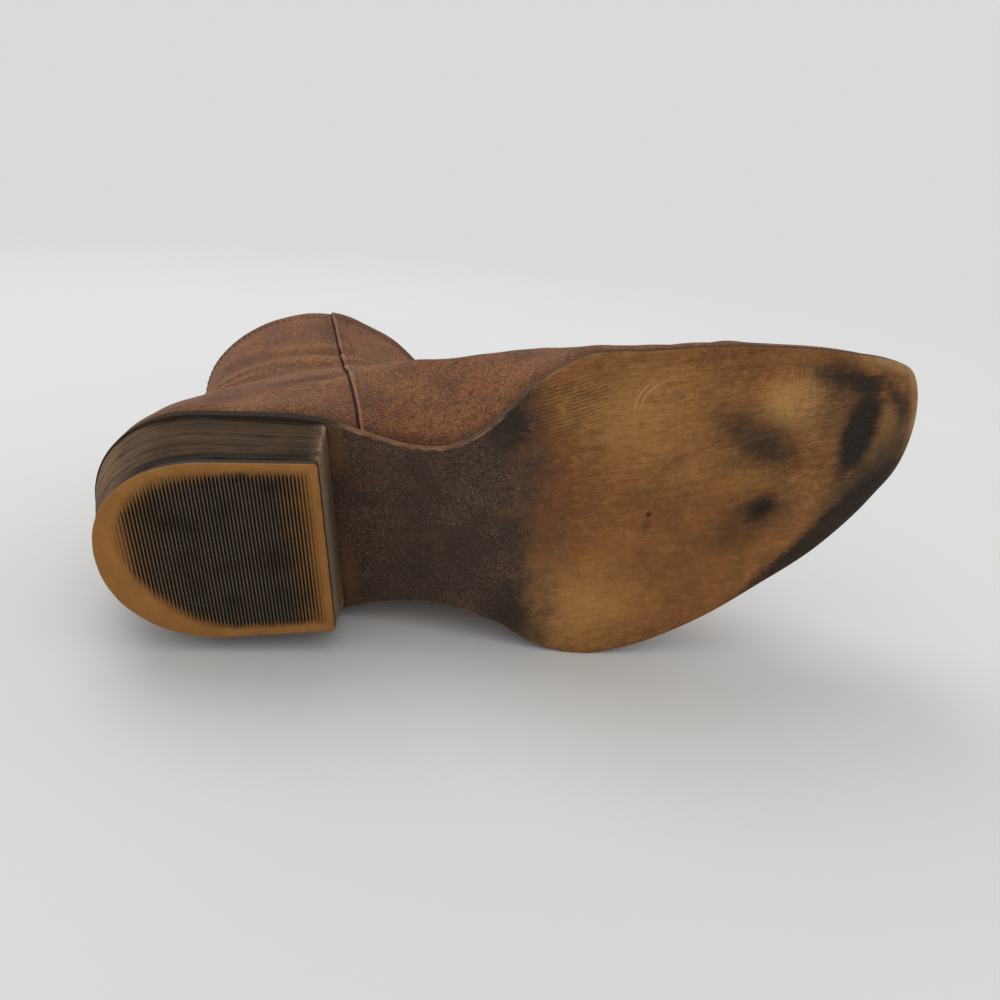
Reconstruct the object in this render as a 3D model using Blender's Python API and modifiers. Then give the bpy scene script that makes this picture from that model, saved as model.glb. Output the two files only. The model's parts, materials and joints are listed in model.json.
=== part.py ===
"""Left western ankle boot, lying on its outer side.

Every piece is modelled in the boot's own standing frame, in millimetres: x runs forward from the
back of the heel seat, y outwards to the lateral side and z up from the plane that the boot stands
on. The pieces hang from one empty, which lays the boot down on its outer side.
"""

import math

import bmesh
import bpy
import numpy as np
from mathutils import Matrix, Vector

MM = 0.001
FINE = np.linspace(0.0, 1.0, 401)

# Lengths and heights of the last and the bottom unit
HEEL_BACK = -3.5
TOE_TIP = 278.0
BREAST = 80.0
BREAST_HEIGHT = 23.0
SEAT_SLOPE = 0.16
TREAD_BACK = 168.0
TREAD_FRONT = 212.0
TOE_SPRING = 9.6
TOE_SPRING_POWER = 1.8
SOLE_THICKNESS = 4.5
GAP = 0.3

# Shank curve: weight and power of each term, from 0 at the tread to 1 at the breast
SHANK_TERMS = ((1.5, 2.0), (-1.0, 3.0), (0.5, 1.6))

# Sole edge: distance of each edge from the heel's centre line
EDGE_COLUMNS = ("station", "lateral", "medial")
EDGE_ROWS = (
    (-3.5, 36.8, 37.2),
    (42.0, 37.0, 37.4),
    (80.0, 36.0, 35.0),
    (95.0, 32.5, 30.6),
    (110.0, 30.8, 27.6),
    (122.0, 32.3, 29.4),
    (134.0, 36.2, 37.6),
    (146.0, 43.0, 50.6),
    (160.0, 47.0, 59.6),
    (182.0, 45.6, 61.0),
    (204.0, 37.2, 61.6),
    (226.0, 24.2, 60.4),
    (248.0, 10.8, 57.2),
    (262.0, -1.0, 54.2),
    (270.0, -9.4, 51.2),
    (278.0, -16.0, 46.5),
)
HEEL_ROUND = 45.5
HEEL_POWER = (2.33, 0.48)
TOE_ROUND = 268.0
TOE_POWER = (3.4, 0.526)
SOLE_STATIONS = 54
SOLE_COLUMNS = 4

# Rings of the outsole's side, from the tread up: inset from the edge and rise from the tread
SOLE_SIDE = ((2.2, 0.0), (0.8, 0.4), (0.0, 1.4), (0.0, 4.0), (0.5, 4.5))

# Heel: top lift and stack
LIFT_BACK = 8.0
LIFT_FRONT = 79.0
LIFT_HALF = 31.3
LIFT_FRONT_HALF = 30.2
LIFT_SWING = (-1.6, 0.7)
LIFT_ROUND = 39.0
LIFT_THICKNESS = 4.0
LIFT_EDGE = 0.6
SEAT_FRONT = 80.0
STACK_INSET = 0.6
STACK_LAYERS = 6
GROOVE_DEPTH = 0.45
GROOVE_HALF = 0.06
HEEL_STATIONS = 22

# Upper: wall, side seam and the rings from the feather edge up to the collar
WALL = 2.2
SEAM_FOOT = 91.0
SEAM_FOOT_HEIGHT = 24.0
SEAM_LEAN = 0.14
SEAM_STEP = 1.1
SEAM_HALF = 0.5
SEAM_FADE = 30.0
WAIST = 108.0
WAIST_REACH = 28.0
WAIST_LATERAL = 0.8
COLLAR_SCALLOP = 15.0
RING_COLUMNS = (
    "front", "front_z", "back", "back_z", "half", "oval", "rise", "fill", "bulge", "scallop", "slack",
)
RING_ROWS = (
    (275.0, 13.6, -0.5, 40.4, 38.0, 0.00, 0.3, 0.940, 0.0, 0.0, 0.0),
    (276.4, 20.5, -3.4, 47.0, 38.0, 0.00, 7.0, 0.985, 4.5, 0.0, 0.0),
    (275.0, 26.0, -5.0, 53.0, 38.0, 0.10, 12.7, 0.985, 7.5, 0.0, 0.0),
    (266.0, 31.0, -5.5, 59.5, 38.0, 0.28, 19.8, 0.970, 8.5, 0.0, -0.8),
    (250.0, 37.0, -5.0, 65.0, 38.0, 0.46, 29.0, 0.950, 8.0, 0.0, -1.8),
    (230.0, 44.0, -4.0, 71.0, 37.5, 0.62, 38.6, 0.930, 7.0, 0.0, -2.4),
    (206.0, 53.5, -2.0, 78.0, 36.5, 0.78, 49.0, 0.900, 5.0, 0.0, -2.2),
    (182.0, 65.0, 0.5, 86.0, 35.5, 0.90, 60.5, 0.900, 3.0, 0.0, -1.2),
    (160.0, 78.5, 3.2, 95.0, 34.5, 1.00, 74.0, 0.900, 1.0, 0.0, 0.0),
    (141.0, 94.0, 5.6, 105.0, 34.0, 1.00, 84.0, 0.900, 0.0, 0.0, 0.8),
    (127.0, 112.0, 7.4, 118.0, 34.5, 1.00, 98.0, 0.900, 0.0, 0.0, 1.4),
    (119.0, 131.0, 8.0, 133.0, 36.0, 1.00, 112.0, 0.900, 0.0, 0.10, 1.9),
    (115.5, 150.0, 7.0, 151.0, 38.5, 1.00, 130.0, 0.900, 0.0, 0.45, 2.3),
    (117.0, 170.0, 3.5, 173.0, 41.0, 1.00, 150.0, 0.900, 0.0, 1.00, 2.8),
)
RINGS = 23
BACK_STATIONS = 12
FRONT_STATIONS = 20

# Insole
INSOLE_INSET = 6.2
INSOLE_THICKNESS = 2.6

# Edges sharper than this are shaded sharp
SHARP_DEGREES = 40.0

COLOURS = {
    "outsole": ((0.30, 0.17, 0.08), 0.55),
    "heel_stack": ((0.10, 0.065, 0.045), 0.45),
    "top_lift": ((0.52, 0.30, 0.12), 0.60),
    "upper": ((0.24, 0.105, 0.05), 0.60),
    "insole": ((0.45, 0.33, 0.22), 0.75),
}


def column(rows, columns, name):
    """One named column of a table."""
    return np.array([row[columns.index(name)] for row in rows])


def smooth(stations, values, x):
    """A smooth curve through the rows of a table, read at x."""
    slopes = np.gradient(values, stations)
    x = np.clip(x, stations[0], stations[-1])
    i = np.clip(np.searchsorted(stations, x) - 1, 0, len(stations) - 2)
    span = stations[i + 1] - stations[i]
    t = (x - stations[i]) / span
    rise = values[i + 1] - values[i]
    bow = t * (1 - t) * ((1 - t) * (slopes[i] * span - rise) - t * (slopes[i + 1] * span - rise))
    return values[i] + rise * t + bow


def end_round(u, power):
    """Half width left at the share u of the way into a rounded end."""
    return (1 - np.clip(u, 0, 1) ** power[0]) ** power[1]


def sole_edges(x):
    """Centre line and half width of the sole at x."""
    stations = column(EDGE_ROWS, EDGE_COLUMNS, "station")
    lateral = smooth(stations, column(EDGE_ROWS, EDGE_COLUMNS, "lateral"), x)
    medial = smooth(stations, column(EDGE_ROWS, EDGE_COLUMNS, "medial"), x)
    heel = end_round((HEEL_BACK + HEEL_ROUND - x) / HEEL_ROUND, HEEL_POWER)
    toe = end_round((x - TOE_ROUND) / (TOE_TIP - TOE_ROUND), TOE_POWER)
    return (lateral - medial) / 2, (lateral + medial) / 2 * heel * toe


def tread_height(x):
    """Underside of the outsole: flat tread, toe spring, shank and sloping heel seat."""
    u = np.clip((TREAD_BACK - x) / (TREAD_BACK - BREAST), 0, 1)
    shank = BREAST_HEIGHT * sum(weight * u**power for weight, power in SHANK_TERMS)
    seat = SEAT_SLOPE * np.clip(BREAST - x, 0, None)
    along_toe = np.clip((x - TREAD_FRONT) / (TOE_TIP - TREAD_FRONT), 0, 1)
    toe = TOE_SPRING * along_toe**TOE_SPRING_POWER
    return shank + seat + toe


def sole_top(x):
    return tread_height(x) + SOLE_THICKNESS


def loop_of(x, centre, half):
    """A closed outline from stations: up the lateral edge to the toe and back down the medial one."""
    lateral = np.column_stack([x, centre + half])
    medial = np.column_stack([x, centre - half])
    return np.vstack([lateral, medial[::-1]])


def inset(loop, distance):
    """The outline moved inwards by a distance."""
    along = np.roll(loop, -1, axis=0) - np.roll(loop, 1, axis=0)
    outward = np.column_stack([-along[:, 1], along[:, 0]])
    outward /= np.linalg.norm(outward, axis=1)[:, None]
    return loop - outward * distance


def sole_outline():
    """The sole's edge."""
    fine = HEEL_BACK + (TOE_TIP - HEEL_BACK) * (1 - np.cos(math.pi * FINE)) / 2
    x = spaced(fine, sole_edges(fine)[1], SOLE_STATIONS, "both")
    return loop_of(x, *sole_edges(x))


def heel_outline(back, front, half, front_half, round_length, swing):
    """A heel lift: round behind, narrowing to a straight breast, its axis swung a little inwards."""

    def width(x):
        taper = np.clip(2 * (x - back) / (front - back) - 1, 0, 1)
        straight = half + (front_half - half) * taper
        return straight * end_round((back + round_length - x) / round_length, HEEL_POWER)

    fine = back + (front - back) * (1 - np.cos(math.pi / 2 * FINE))
    x = spaced(fine, width(fine), HEEL_STATIONS, "first")
    return loop_of(x, swing[0] + (swing[1] - swing[0]) * (x - back) / (front - back), width(x))


def spaced(x, half, count, tip):
    """Stations at even steps along an edge; at a tip they start or end half a step short of it."""
    steps = np.hypot(np.diff(x), np.diff(half))
    run = np.concatenate([[0.0], np.cumsum(steps)])
    order = np.arange(count)
    share = {
        "both": (order + 0.5) / count,
        "first": (order + 0.5) / (count - 0.5),
        "last": order / (count - 0.5),
    }[tip]
    return np.interp(share * run[-1], run, x)


def with_heights(loop, heights):
    return np.column_stack([loop, heights])


def new_object(name, mesh):
    obj = bpy.data.objects.new(name, mesh)
    bpy.data.collections["western_ankle_boot"].objects.link(obj)
    return obj


def bridge(bm, lower, upper):
    """A band of faces between two closed rings of vertices."""
    count = len(lower)
    for i in range(count):
        j = (i + 1) % count
        bm.faces.new((lower[i], lower[j], upper[j], upper[i]))


def ladder(bm, ring, columns, height):
    """Closes a ring from side to side, with rungs that follow the height between its two ends."""
    count = len(ring) // 2
    rungs = []
    for i in range(count):
        a, b = ring[i], ring[-1 - i]
        rung = [a]
        for k in range(1, columns if 0 < i < count - 1 else 1):
            x, y, _ = a.co.lerp(b.co, k / columns) / MM
            rung.append(bm.verts.new(Vector((x, y, float(height(x)))) * MM))
        rungs.append([*rung, b])
    for near, far in zip(rungs, rungs[1:]):
        if len(near) == len(far):
            for k in range(columns):
                bm.faces.new((near[k], near[k + 1], far[k + 1], far[k]))
        else:
            bm.faces.new([*near, *far[::-1]])


def plate(name, rings, columns, low_height, high_height):
    """A solid from outline rings, closed below and above by ladders."""
    bm = bmesh.new()
    made = [[bm.verts.new(Vector(point) * MM) for point in ring] for ring in rings]
    for lower, upper in zip(made, made[1:]):
        bridge(bm, lower, upper)
    ladder(bm, made[0], columns, low_height)
    ladder(bm, made[-1], columns, high_height)
    bmesh.ops.recalc_face_normals(bm, faces=bm.faces)
    mesh = bpy.data.meshes.new(name)
    bm.to_mesh(mesh)
    bm.free()
    return new_object(name, mesh)


def outsole():
    """One full-length sole with a rounded tread edge, arch, toe spring and heel seat."""
    edge = sole_outline()
    rings = []
    for distance, rise in SOLE_SIDE:
        loop = inset(edge, distance)
        rings.append(with_heights(loop, tread_height(loop[:, 0]) + rise))
    return plate("outsole", rings, SOLE_COLUMNS, tread_height, sole_top)


def insole():
    """The sock that lies on the outsole inside the upper."""
    loop = inset(sole_outline(), INSOLE_INSET)
    low = sole_top(loop[:, 0]) + GAP
    rings = [with_heights(loop, low), with_heights(loop, low + INSOLE_THICKNESS)]

    def underside(x):
        return sole_top(x) + GAP

    def upside(x):
        return sole_top(x) + GAP + INSOLE_THICKNESS

    return plate("insole", rings, SOLE_COLUMNS, underside, upside)


def lift_outline():
    return heel_outline(LIFT_BACK, LIFT_FRONT, LIFT_HALF, LIFT_FRONT_HALF, LIFT_ROUND, LIFT_SWING)


def top_lift():
    """The rubber lift that the heel stands on, with a small edge."""
    edge = lift_outline()
    ground = np.zeros(len(edge))
    rings = [
        with_heights(inset(edge, LIFT_EDGE), ground),
        with_heights(edge, ground + LIFT_EDGE),
        with_heights(edge, ground + LIFT_THICKNESS),
    ]
    return plate("top_lift", rings, 2, lambda x: 0.0, lambda x: LIFT_THICKNESS)


def heel_stack():
    """Stacked leather heel that widens from the top lift to the seat, grooved between its layers."""
    foot = lift_outline()
    half, front_half = (sum(EDGE_ROWS[row][1:]) / 2 - STACK_INSET for row in (1, 2))
    swing = (EDGE_ROWS[1][1] - EDGE_ROWS[1][2]) / 2, (EDGE_ROWS[2][1] - EDGE_ROWS[2][2]) / 2
    seat = heel_outline(HEEL_BACK + STACK_INSET, SEAT_FRONT, half, front_half, HEEL_ROUND, swing)
    base = LIFT_THICKNESS + GAP
    shares = [(0.0, 0.0)]
    for layer in range(1, STACK_LAYERS):
        middle = layer / STACK_LAYERS
        shares += [(middle - GROOVE_HALF, 0.0), (middle, GROOVE_DEPTH), (middle + GROOVE_HALF, 0.0)]
    shares.append((1.0, 0.0))
    rings = []
    for share, depth in shares:
        loop = inset(foot + (seat - foot) * share, depth)
        top = tread_height(loop[:, 0]) - GAP
        rings.append(with_heights(loop, base + (top - base) * share))
    return plate("heel_stack", rings, 2, lambda x: base, lambda x: tread_height(x) - GAP)


def ring_sizes(level):
    """The columns of the upper's table at a level between two of its rows."""
    levels = np.arange(len(RING_ROWS), dtype=float)
    return {
        name: float(smooth(levels, column(RING_ROWS, RING_COLUMNS, name), level))
        for name in RING_COLUMNS
    }


def ring_height(size, x):
    """Height of a ring at x: parallel to the sole low down, and a straight topline in the shaft."""
    share = (x - size["back"]) / (size["front"] - size["back"])
    along = size["back_z"] + (size["front_z"] - size["back_z"]) * share
    wave = COLLAR_SCALLOP * size["scallop"] * np.sin(math.pi * np.clip(share, 0, 1)) ** 2
    return (1 - size["oval"]) * (sole_top(x) + size["rise"]) + size["oval"] * along + wave


def seam_of(size):
    """Where the side seam crosses a ring."""
    x = SEAM_FOOT
    for _ in range(4):
        x = SEAM_FOOT - SEAM_LEAN * (float(ring_height(size, np.float64(x))) - SEAM_FOOT_HEIGHT)
    return x


def ring_edges(size, seam, x):
    """Lateral and medial sides of a ring at x: the sole's shape low down and an oval in the shaft."""
    share = (x - size["back"]) / (size["front"] - size["back"])
    round_off = np.sqrt(np.clip(1 - (2 * share - 1) ** 2, 0, 1))
    _, sole_half = sole_edges(HEEL_BACK + share * (TOE_TIP - HEEL_BACK))
    waist = size["bulge"] * np.exp(-(((x - WAIST) / WAIST_REACH) ** 2))
    lap = np.where(x > seam, SEAM_STEP * np.exp(-np.clip(x - seam, 0, None) / SEAM_FADE), 0.0)
    half = (1 - size["oval"]) * sole_half * size["fill"] + size["oval"] * size["half"] * round_off
    centre = sole_edges(x)[0] + size["slack"]
    lateral = centre + half + (waist * WAIST_LATERAL + lap) * round_off
    medial = centre - half - (waist + lap) * round_off
    return lateral, medial


def upper_ring(level):
    """A closed ring of the upper's outside."""
    size = ring_sizes(level)
    seam = seam_of(size)
    behind = size["back"] + (seam - SEAM_HALF - size["back"]) * (1 - np.cos(math.pi / 2 * FINE))
    ahead = seam + SEAM_HALF + (size["front"] - seam - SEAM_HALF) * np.sin(math.pi / 2 * FINE)
    x = np.concatenate(
        [
            spaced(behind, ring_edges(size, seam, behind)[0], BACK_STATIONS, "first"),
            spaced(ahead, ring_edges(size, seam, ahead)[0], FRONT_STATIONS, "last"),
        ]
    )
    lateral, medial = ring_edges(size, seam, x)
    loop = loop_of(x, (lateral + medial) / 2, (lateral - medial) / 2)
    return with_heights(loop, ring_height(size, loop[:, 0]))


def upper():
    """Vamp, counter and shaft as one hollow wall, open underneath and at the collar."""
    bm = bmesh.new()
    levels = np.linspace(0, len(RING_ROWS) - 1, RINGS)
    rings = [[bm.verts.new(Vector(point) * MM) for point in upper_ring(level)] for level in levels]
    for lower, higher in zip(rings, rings[1:]):
        bridge(bm, lower, higher)
    bmesh.ops.recalc_face_normals(bm, faces=bm.faces)
    mesh = bpy.data.meshes.new("upper")
    bm.to_mesh(mesh)
    bm.free()
    obj = new_object("upper", mesh)
    wall = obj.modifiers.new("wall", "SOLIDIFY")
    wall.thickness = WALL * MM
    wall.offset = -1.0
    wall.use_even_offset = True
    return obj


def paint(obj):
    """A material of its own for each piece."""
    colour, roughness = COLOURS[obj.name]
    material = bpy.data.materials.new(obj.name)
    material.use_nodes = True
    shader = material.node_tree.nodes["Principled BSDF"]
    shader.inputs["Base Color"].default_value = (*colour, 1.0)
    shader.inputs["Roughness"].default_value = roughness
    shader.inputs["Metallic"].default_value = 0.0
    obj.data.materials.append(material)
    obj.data.shade_smooth()
    obj.data.set_sharp_from_angle(angle=math.radians(SHARP_DEGREES))


def solid_of(obj):
    """Corner points and triangles of a piece with its modifiers."""
    graph = bpy.context.evaluated_depsgraph_get()
    mesh = obj.evaluated_get(graph).to_mesh()
    mesh.calc_loop_triangles()
    points = np.array([vertex.co for vertex in mesh.vertices])
    faces = np.array([triangle.vertices for triangle in mesh.loop_triangles])
    return points, faces


def balance_point(solids):
    """Centre of volume of all the pieces."""
    volume, moment = 0.0, np.zeros(3)
    for points, faces in solids:
        a, b, c = (points[faces[:, k]] for k in range(3))
        parts = np.einsum("ij,ij->i", a, np.cross(b, c)) / 6
        volume += parts.sum()
        moment += (parts[:, None] * (a + b + c) / 4).sum(axis=0)
    return Vector(moment / volume)


def resting_side(solids, centre):
    """Outward normal of the hull face on the lateral side that the boot comes to rest on."""
    bm = bmesh.new()
    for points, _ in solids:
        for point in points:
            bm.verts.new(point)
    bmesh.ops.convex_hull(bm, input=bm.verts)
    best = None
    for face in bm.faces:
        foot = centre + face.normal * (face.verts[0].co - centre).dot(face.normal)
        if bmesh.geometry.intersect_face_point(face, foot) and (best is None or face.normal.y > best.y):
            best = face.normal.copy()
    bm.free()
    return best


def lay_down(parts):
    """Hangs the pieces from an empty that lays the boot on its outer side, sole facing -Y, toe at +X."""
    bpy.context.view_layer.update()
    solids = [solid_of(obj) for obj in parts]
    down = resting_side(solids, balance_point(solids))
    forward = (Vector((1, 0, 0)) - down * down.x).normalized()
    turn = Matrix((forward, (-down).cross(forward), -down))
    placed = np.vstack([points for points, _ in solids]) @ np.array(turn).T
    low, high = placed.min(axis=0), placed.max(axis=0)
    place = -Vector(((low[0] + high[0]) / 2, (low[1] + high[1]) / 2, low[2]))
    holder = bpy.data.objects.new("lying_boot", None)
    bpy.data.collections["western_ankle_boot"].objects.link(holder)
    holder.matrix_world = Matrix.Translation(place) @ turn.to_4x4()
    for obj in parts:
        obj.parent = holder


def main():
    for old in list(bpy.data.objects):
        bpy.data.objects.remove(old)
    boot = bpy.data.collections.new("western_ankle_boot")
    bpy.context.scene.collection.children.link(boot)
    parts = [outsole(), insole(), top_lift(), heel_stack(), upper()]
    for obj in parts:
        paint(obj)
    lay_down(parts)


main()
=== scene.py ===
"""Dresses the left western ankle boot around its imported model, lying on its outer side.

Shapes are worked out in the boot's own standing frame, in millimetres: x runs forward from the
back of the heel seat, y outwards to the lateral side and z up from the plane that the boot stands
on. Each piece keeps these figures in its attribute "boot", which the materials read, and is then
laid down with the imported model.
"""

import json
import math

import bmesh
import bpy
import numpy as np
from mathutils import Matrix, Vector


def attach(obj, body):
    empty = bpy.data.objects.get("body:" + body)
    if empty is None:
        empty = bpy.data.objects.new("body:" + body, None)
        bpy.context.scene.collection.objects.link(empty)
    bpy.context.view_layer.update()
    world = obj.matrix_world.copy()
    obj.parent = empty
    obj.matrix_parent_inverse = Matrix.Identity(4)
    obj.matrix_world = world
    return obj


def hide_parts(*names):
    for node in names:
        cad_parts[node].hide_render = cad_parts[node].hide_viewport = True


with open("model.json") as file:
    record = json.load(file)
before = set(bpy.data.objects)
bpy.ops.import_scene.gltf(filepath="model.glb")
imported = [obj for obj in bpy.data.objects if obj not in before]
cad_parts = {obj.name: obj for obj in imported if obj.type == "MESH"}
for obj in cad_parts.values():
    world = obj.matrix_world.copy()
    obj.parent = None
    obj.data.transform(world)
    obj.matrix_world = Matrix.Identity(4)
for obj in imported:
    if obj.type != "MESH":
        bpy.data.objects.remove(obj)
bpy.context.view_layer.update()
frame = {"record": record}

bl_info = {
    "name": "Western ankle boot",
    "version": (1, 0, 0),
    "blender": (4, 5, 0),
    "location": "3D View > Sidebar > Boot",
    "description": "Dresses a worn western ankle boot: sole, stacked heel, ribbed lift, upper and stage",
    "category": "Object",
}

MM = 0.001
# Angles in degrees from which an edge is sharp: most pieces, the upper, its lining, and fine pieces
SHARP = 50.0
SHARP_UPPER = 48.0
SHARP_LINING = 60.0
SHARP_FINE = 80.0
# Even steps from 0 to 1 along an edge
FINE = np.linspace(0.0, 1.0, 401)

# Lengths and heights of the last and the bottom unit
HEEL_BACK = -3.5
TOE_TIP = 278.0
BREAST = 80.0
BREAST_HEIGHT = 23.0
SEAT_SLOPE = 0.16
TREAD_BACK = 168.0
TREAD_FRONT = 212.0
TOE_SPRING = 9.6
TOE_SPRING_POWER = 1.8
SOLE_THICKNESS = 4.5
EDGE_RISE = 1.9
SHANK_TERMS = ((1.5, 2.0), (-1.0, 3.0), (0.5, 1.6))

# Clearance between the pieces of the heel, under the sock, and between the leather and its lining
TOUCH = 0.03
GAP = 0.3
LINING_GAP = 0.06

# Where the mounts lie in the boot's own frame
HEEL_MOUNT = (45.0, 0.0, 0.0)
BALL_MOUNT = (190.0, -8.0, 0.0)

# Wear of the tread: how far in from the edge it is domed, and where in front of the breast that sets in
DOME_REACH = 8.0
DOME_START = (2.0, 20.0)
# How far in from the edge the tread grows uneven
UNEVEN_START = (2.0, 9.0)
# Rounding of the upper edge, and columns across a face that nobody sees
TOP_ROUND = 0.6
HIDDEN_COLUMNS = 6
# Share of the edge rounding at the heel, and what the waist and the forepart add: share, from, to
EDGE_TRIM = 0.12
EDGE_TRIM_STEPS = ((0.24, 78.0, 90.0), (0.64, 146.0, 196.0))

# Unevenness of each piece: height, wavelength and seed of its waves
TREAD_WAVES = ((0.10, 34.0, 3), (0.05, 11.0, 4))
STACK_WAVES = ((0.12, 16.0, 8),)
LIFT_WAVES = ((0.03, 6.0, 12), (0.035, 1.6, 13))
RIB_SEED = 21
CREASE_WAVES = ((2.2, 46.0, 31),)
UPPER_WAVES = ((0.30, 52.0, 41), (0.12, 15.0, 42))
SOCK_WAVES = ((0.25, 40.0, 51),)
STITCH_SEED = 5

# Sole edge: distance of each edge from the heel's centre line
EDGE_COLUMNS = ("station", "lateral", "medial")
EDGE_ROWS = (
    (-3.5, 36.8, 37.2),
    (42.0, 37.0, 37.4),
    (80.0, 36.0, 35.0),
    (95.0, 32.5, 30.6),
    (110.0, 30.8, 27.6),
    (122.0, 32.3, 29.4),
    (134.0, 36.2, 37.6),
    (146.0, 43.0, 50.6),
    (160.0, 47.0, 59.6),
    (182.0, 45.6, 61.0),
    (204.0, 37.2, 61.6),
    (226.0, 24.2, 60.4),
    (248.0, 10.8, 57.2),
    (262.0, -1.0, 54.2),
    (270.0, -9.4, 51.2),
    (278.0, -16.0, 46.5),
)
HEEL_ROUND = 45.5
HEEL_POWER = (2.33, 0.48)
TOE_ROUND = 268.0
TOE_POWER = (3.4, 0.526)

# Heel: top lift and stack
LIFT_BACK = 8.0
LIFT_FRONT = 79.0
LIFT_HALF = 31.3
LIFT_FRONT_HALF = 30.2
LIFT_SWING = (-1.6, 0.7)
LIFT_ROUND = 39.0
LIFT_THICKNESS = 4.0
SEAT_FRONT = 80.0
STACK_INSET = 0.6
HEEL_STATIONS = 64
HEEL_COLUMNS = 56
CORNER = 1.2

# Rings of the lift from the tread up: inset and height
LIFT_RINGS = (
    (0.95, 0.0), (0.45, 0.08), (0.16, 0.30), (0.0, 0.75), (0.0, 2.2), (0.0, 3.7), (0.3, 4.0),
)
# Layers of the stack: where a lip turns in, how far it stands proud, and the swell between two lips
LAYER_LIP = 0.06
LAYER_PROUD = 0.10
LAYER_SWELL = 0.03
BREAST_FLATNESS = 0.85
# Steps past the last station at which the breast begins, and at which its corner is rubbed, and how wide
BREAST_TURN = (1.0, 4.5)
CORNER_RUB = 2.0
CORNER_RUB_WIDTH = 2.6
# Ribs: steps along and round one, length of its dipping end, and how far ends stray past the field
RIB_STEPS = 22
RIB_SIDES = 8
RIB_TAPER = 3.0
RIB_STRAY = (-0.3, 0.9)
# Where the first rib lies in the field, and how far the field goes on past the last one
FIRST_RIB = 0.8
FIELD_MARGIN = 0.4
# Heights of the field and of a rib's middle, as shares of the rib depth, and how the field is banked
FIELD_SINK = 0.94
RIB_MIDDLE = 0.98
FIELD_BANK = (-0.2, 1.3)
# How near its outline a point belongs to the side of the lift
SIDE_REACH = 0.6

# Ribbed field of the lift: where the ribs end on each side
FIELD_COLUMNS = ("station", "lateral", "medial")
FIELD_ROWS = (
    (14.4, -4.0, -8.0),
    (16.0, 2.0, -13.2),
    (19.0, 9.5, -20.2),
    (24.0, 16.4, -25.3),
    (30.0, 22.2, -28.3),
    (37.0, 26.6, -29.6),
    (45.0, 28.5, -29.8),
    (60.0, 28.9, -29.3),
    (77.0, 28.6, -28.2),
)

# Upper: side seam and the rings from the feather edge up to the collar
SEAM_FOOT = 91.0
SEAM_FOOT_HEIGHT = 24.0
SEAM_LEAN = 0.14
SEAM_STEP = 1.1
SEAM_HALF = 0.22
SEAM_FADE = 30.0
WAIST = 108.0
WAIST_REACH = 28.0
WAIST_LATERAL = 0.8
COLLAR_SCALLOP = 15.0
RING_COLUMNS = (
    "front", "front_z", "back", "back_z", "half", "oval", "rise", "fill", "bulge", "scallop", "slack",
)
RING_ROWS = (
    (275.0, 13.6, -0.5, 40.4, 38.0, 0.00, 0.3, 0.940, 0.0, 0.0, 0.0),
    (276.4, 20.5, -3.4, 47.0, 38.0, 0.00, 7.0, 0.985, 4.5, 0.0, 0.0),
    (275.0, 26.0, -5.0, 53.0, 38.0, 0.10, 12.7, 0.985, 7.5, 0.0, 0.0),
    (266.0, 31.0, -5.5, 59.5, 38.0, 0.28, 19.8, 0.970, 8.5, 0.0, -0.8),
    (250.0, 37.0, -5.0, 65.0, 38.0, 0.46, 29.0, 0.950, 8.0, 0.0, -1.8),
    (230.0, 44.0, -4.0, 71.0, 37.5, 0.62, 38.6, 0.930, 7.0, 0.0, -2.4),
    (206.0, 53.5, -2.0, 78.0, 36.5, 0.78, 49.0, 0.900, 5.0, 0.0, -2.2),
    (182.0, 65.0, 0.5, 86.0, 35.5, 0.90, 60.5, 0.900, 3.0, 0.0, -1.2),
    (160.0, 78.5, 3.2, 95.0, 34.5, 1.00, 74.0, 0.900, 1.0, 0.0, 0.0),
    (141.0, 94.0, 5.6, 105.0, 34.0, 1.00, 84.0, 0.900, 0.0, 0.0, 0.8),
    (127.0, 112.0, 7.4, 118.0, 34.5, 1.00, 98.0, 0.900, 0.0, 0.0, 1.4),
    (119.0, 131.0, 8.0, 133.0, 36.0, 1.00, 112.0, 0.900, 0.0, 0.10, 1.9),
    (115.5, 150.0, 7.0, 151.0, 38.5, 1.00, 130.0, 0.900, 0.0, 0.45, 2.3),
    (117.0, 170.0, 3.5, 173.0, 41.0, 1.00, 150.0, 0.900, 0.0, 1.00, 2.8),
)
TOP_LEVEL = len(RING_ROWS) - 1
BACK_STATIONS = 52
FRONT_STATIONS = 88
INSOLE_INSET = 6.2
INSOLE_THICKNESS = 2.6
# Rings of the sock from the sole up: inset and share of its thickness
SOCK_RINGS = ((0.0, 0.0), (0.0, 0.6), (0.3, 0.88), (0.9, 1.0))
SOCK_STATIONS = 96
SOCK_COLUMNS = 24

# Stitch rows: distances in front of the side seam and levels along it, and levels below the collar
SEAM_ROWS = (2.4, 5.2)
SEAM_ROW_LEVELS = np.linspace(0.35, 12.7, 150)
COLLAR_ROWS = (12.83, 12.70)
# How far the thread stands out, and the least and greatest size of a stitch
THREAD_PROUD = 0.10
STITCH_SPREAD = (0.86, 1.08)

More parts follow.
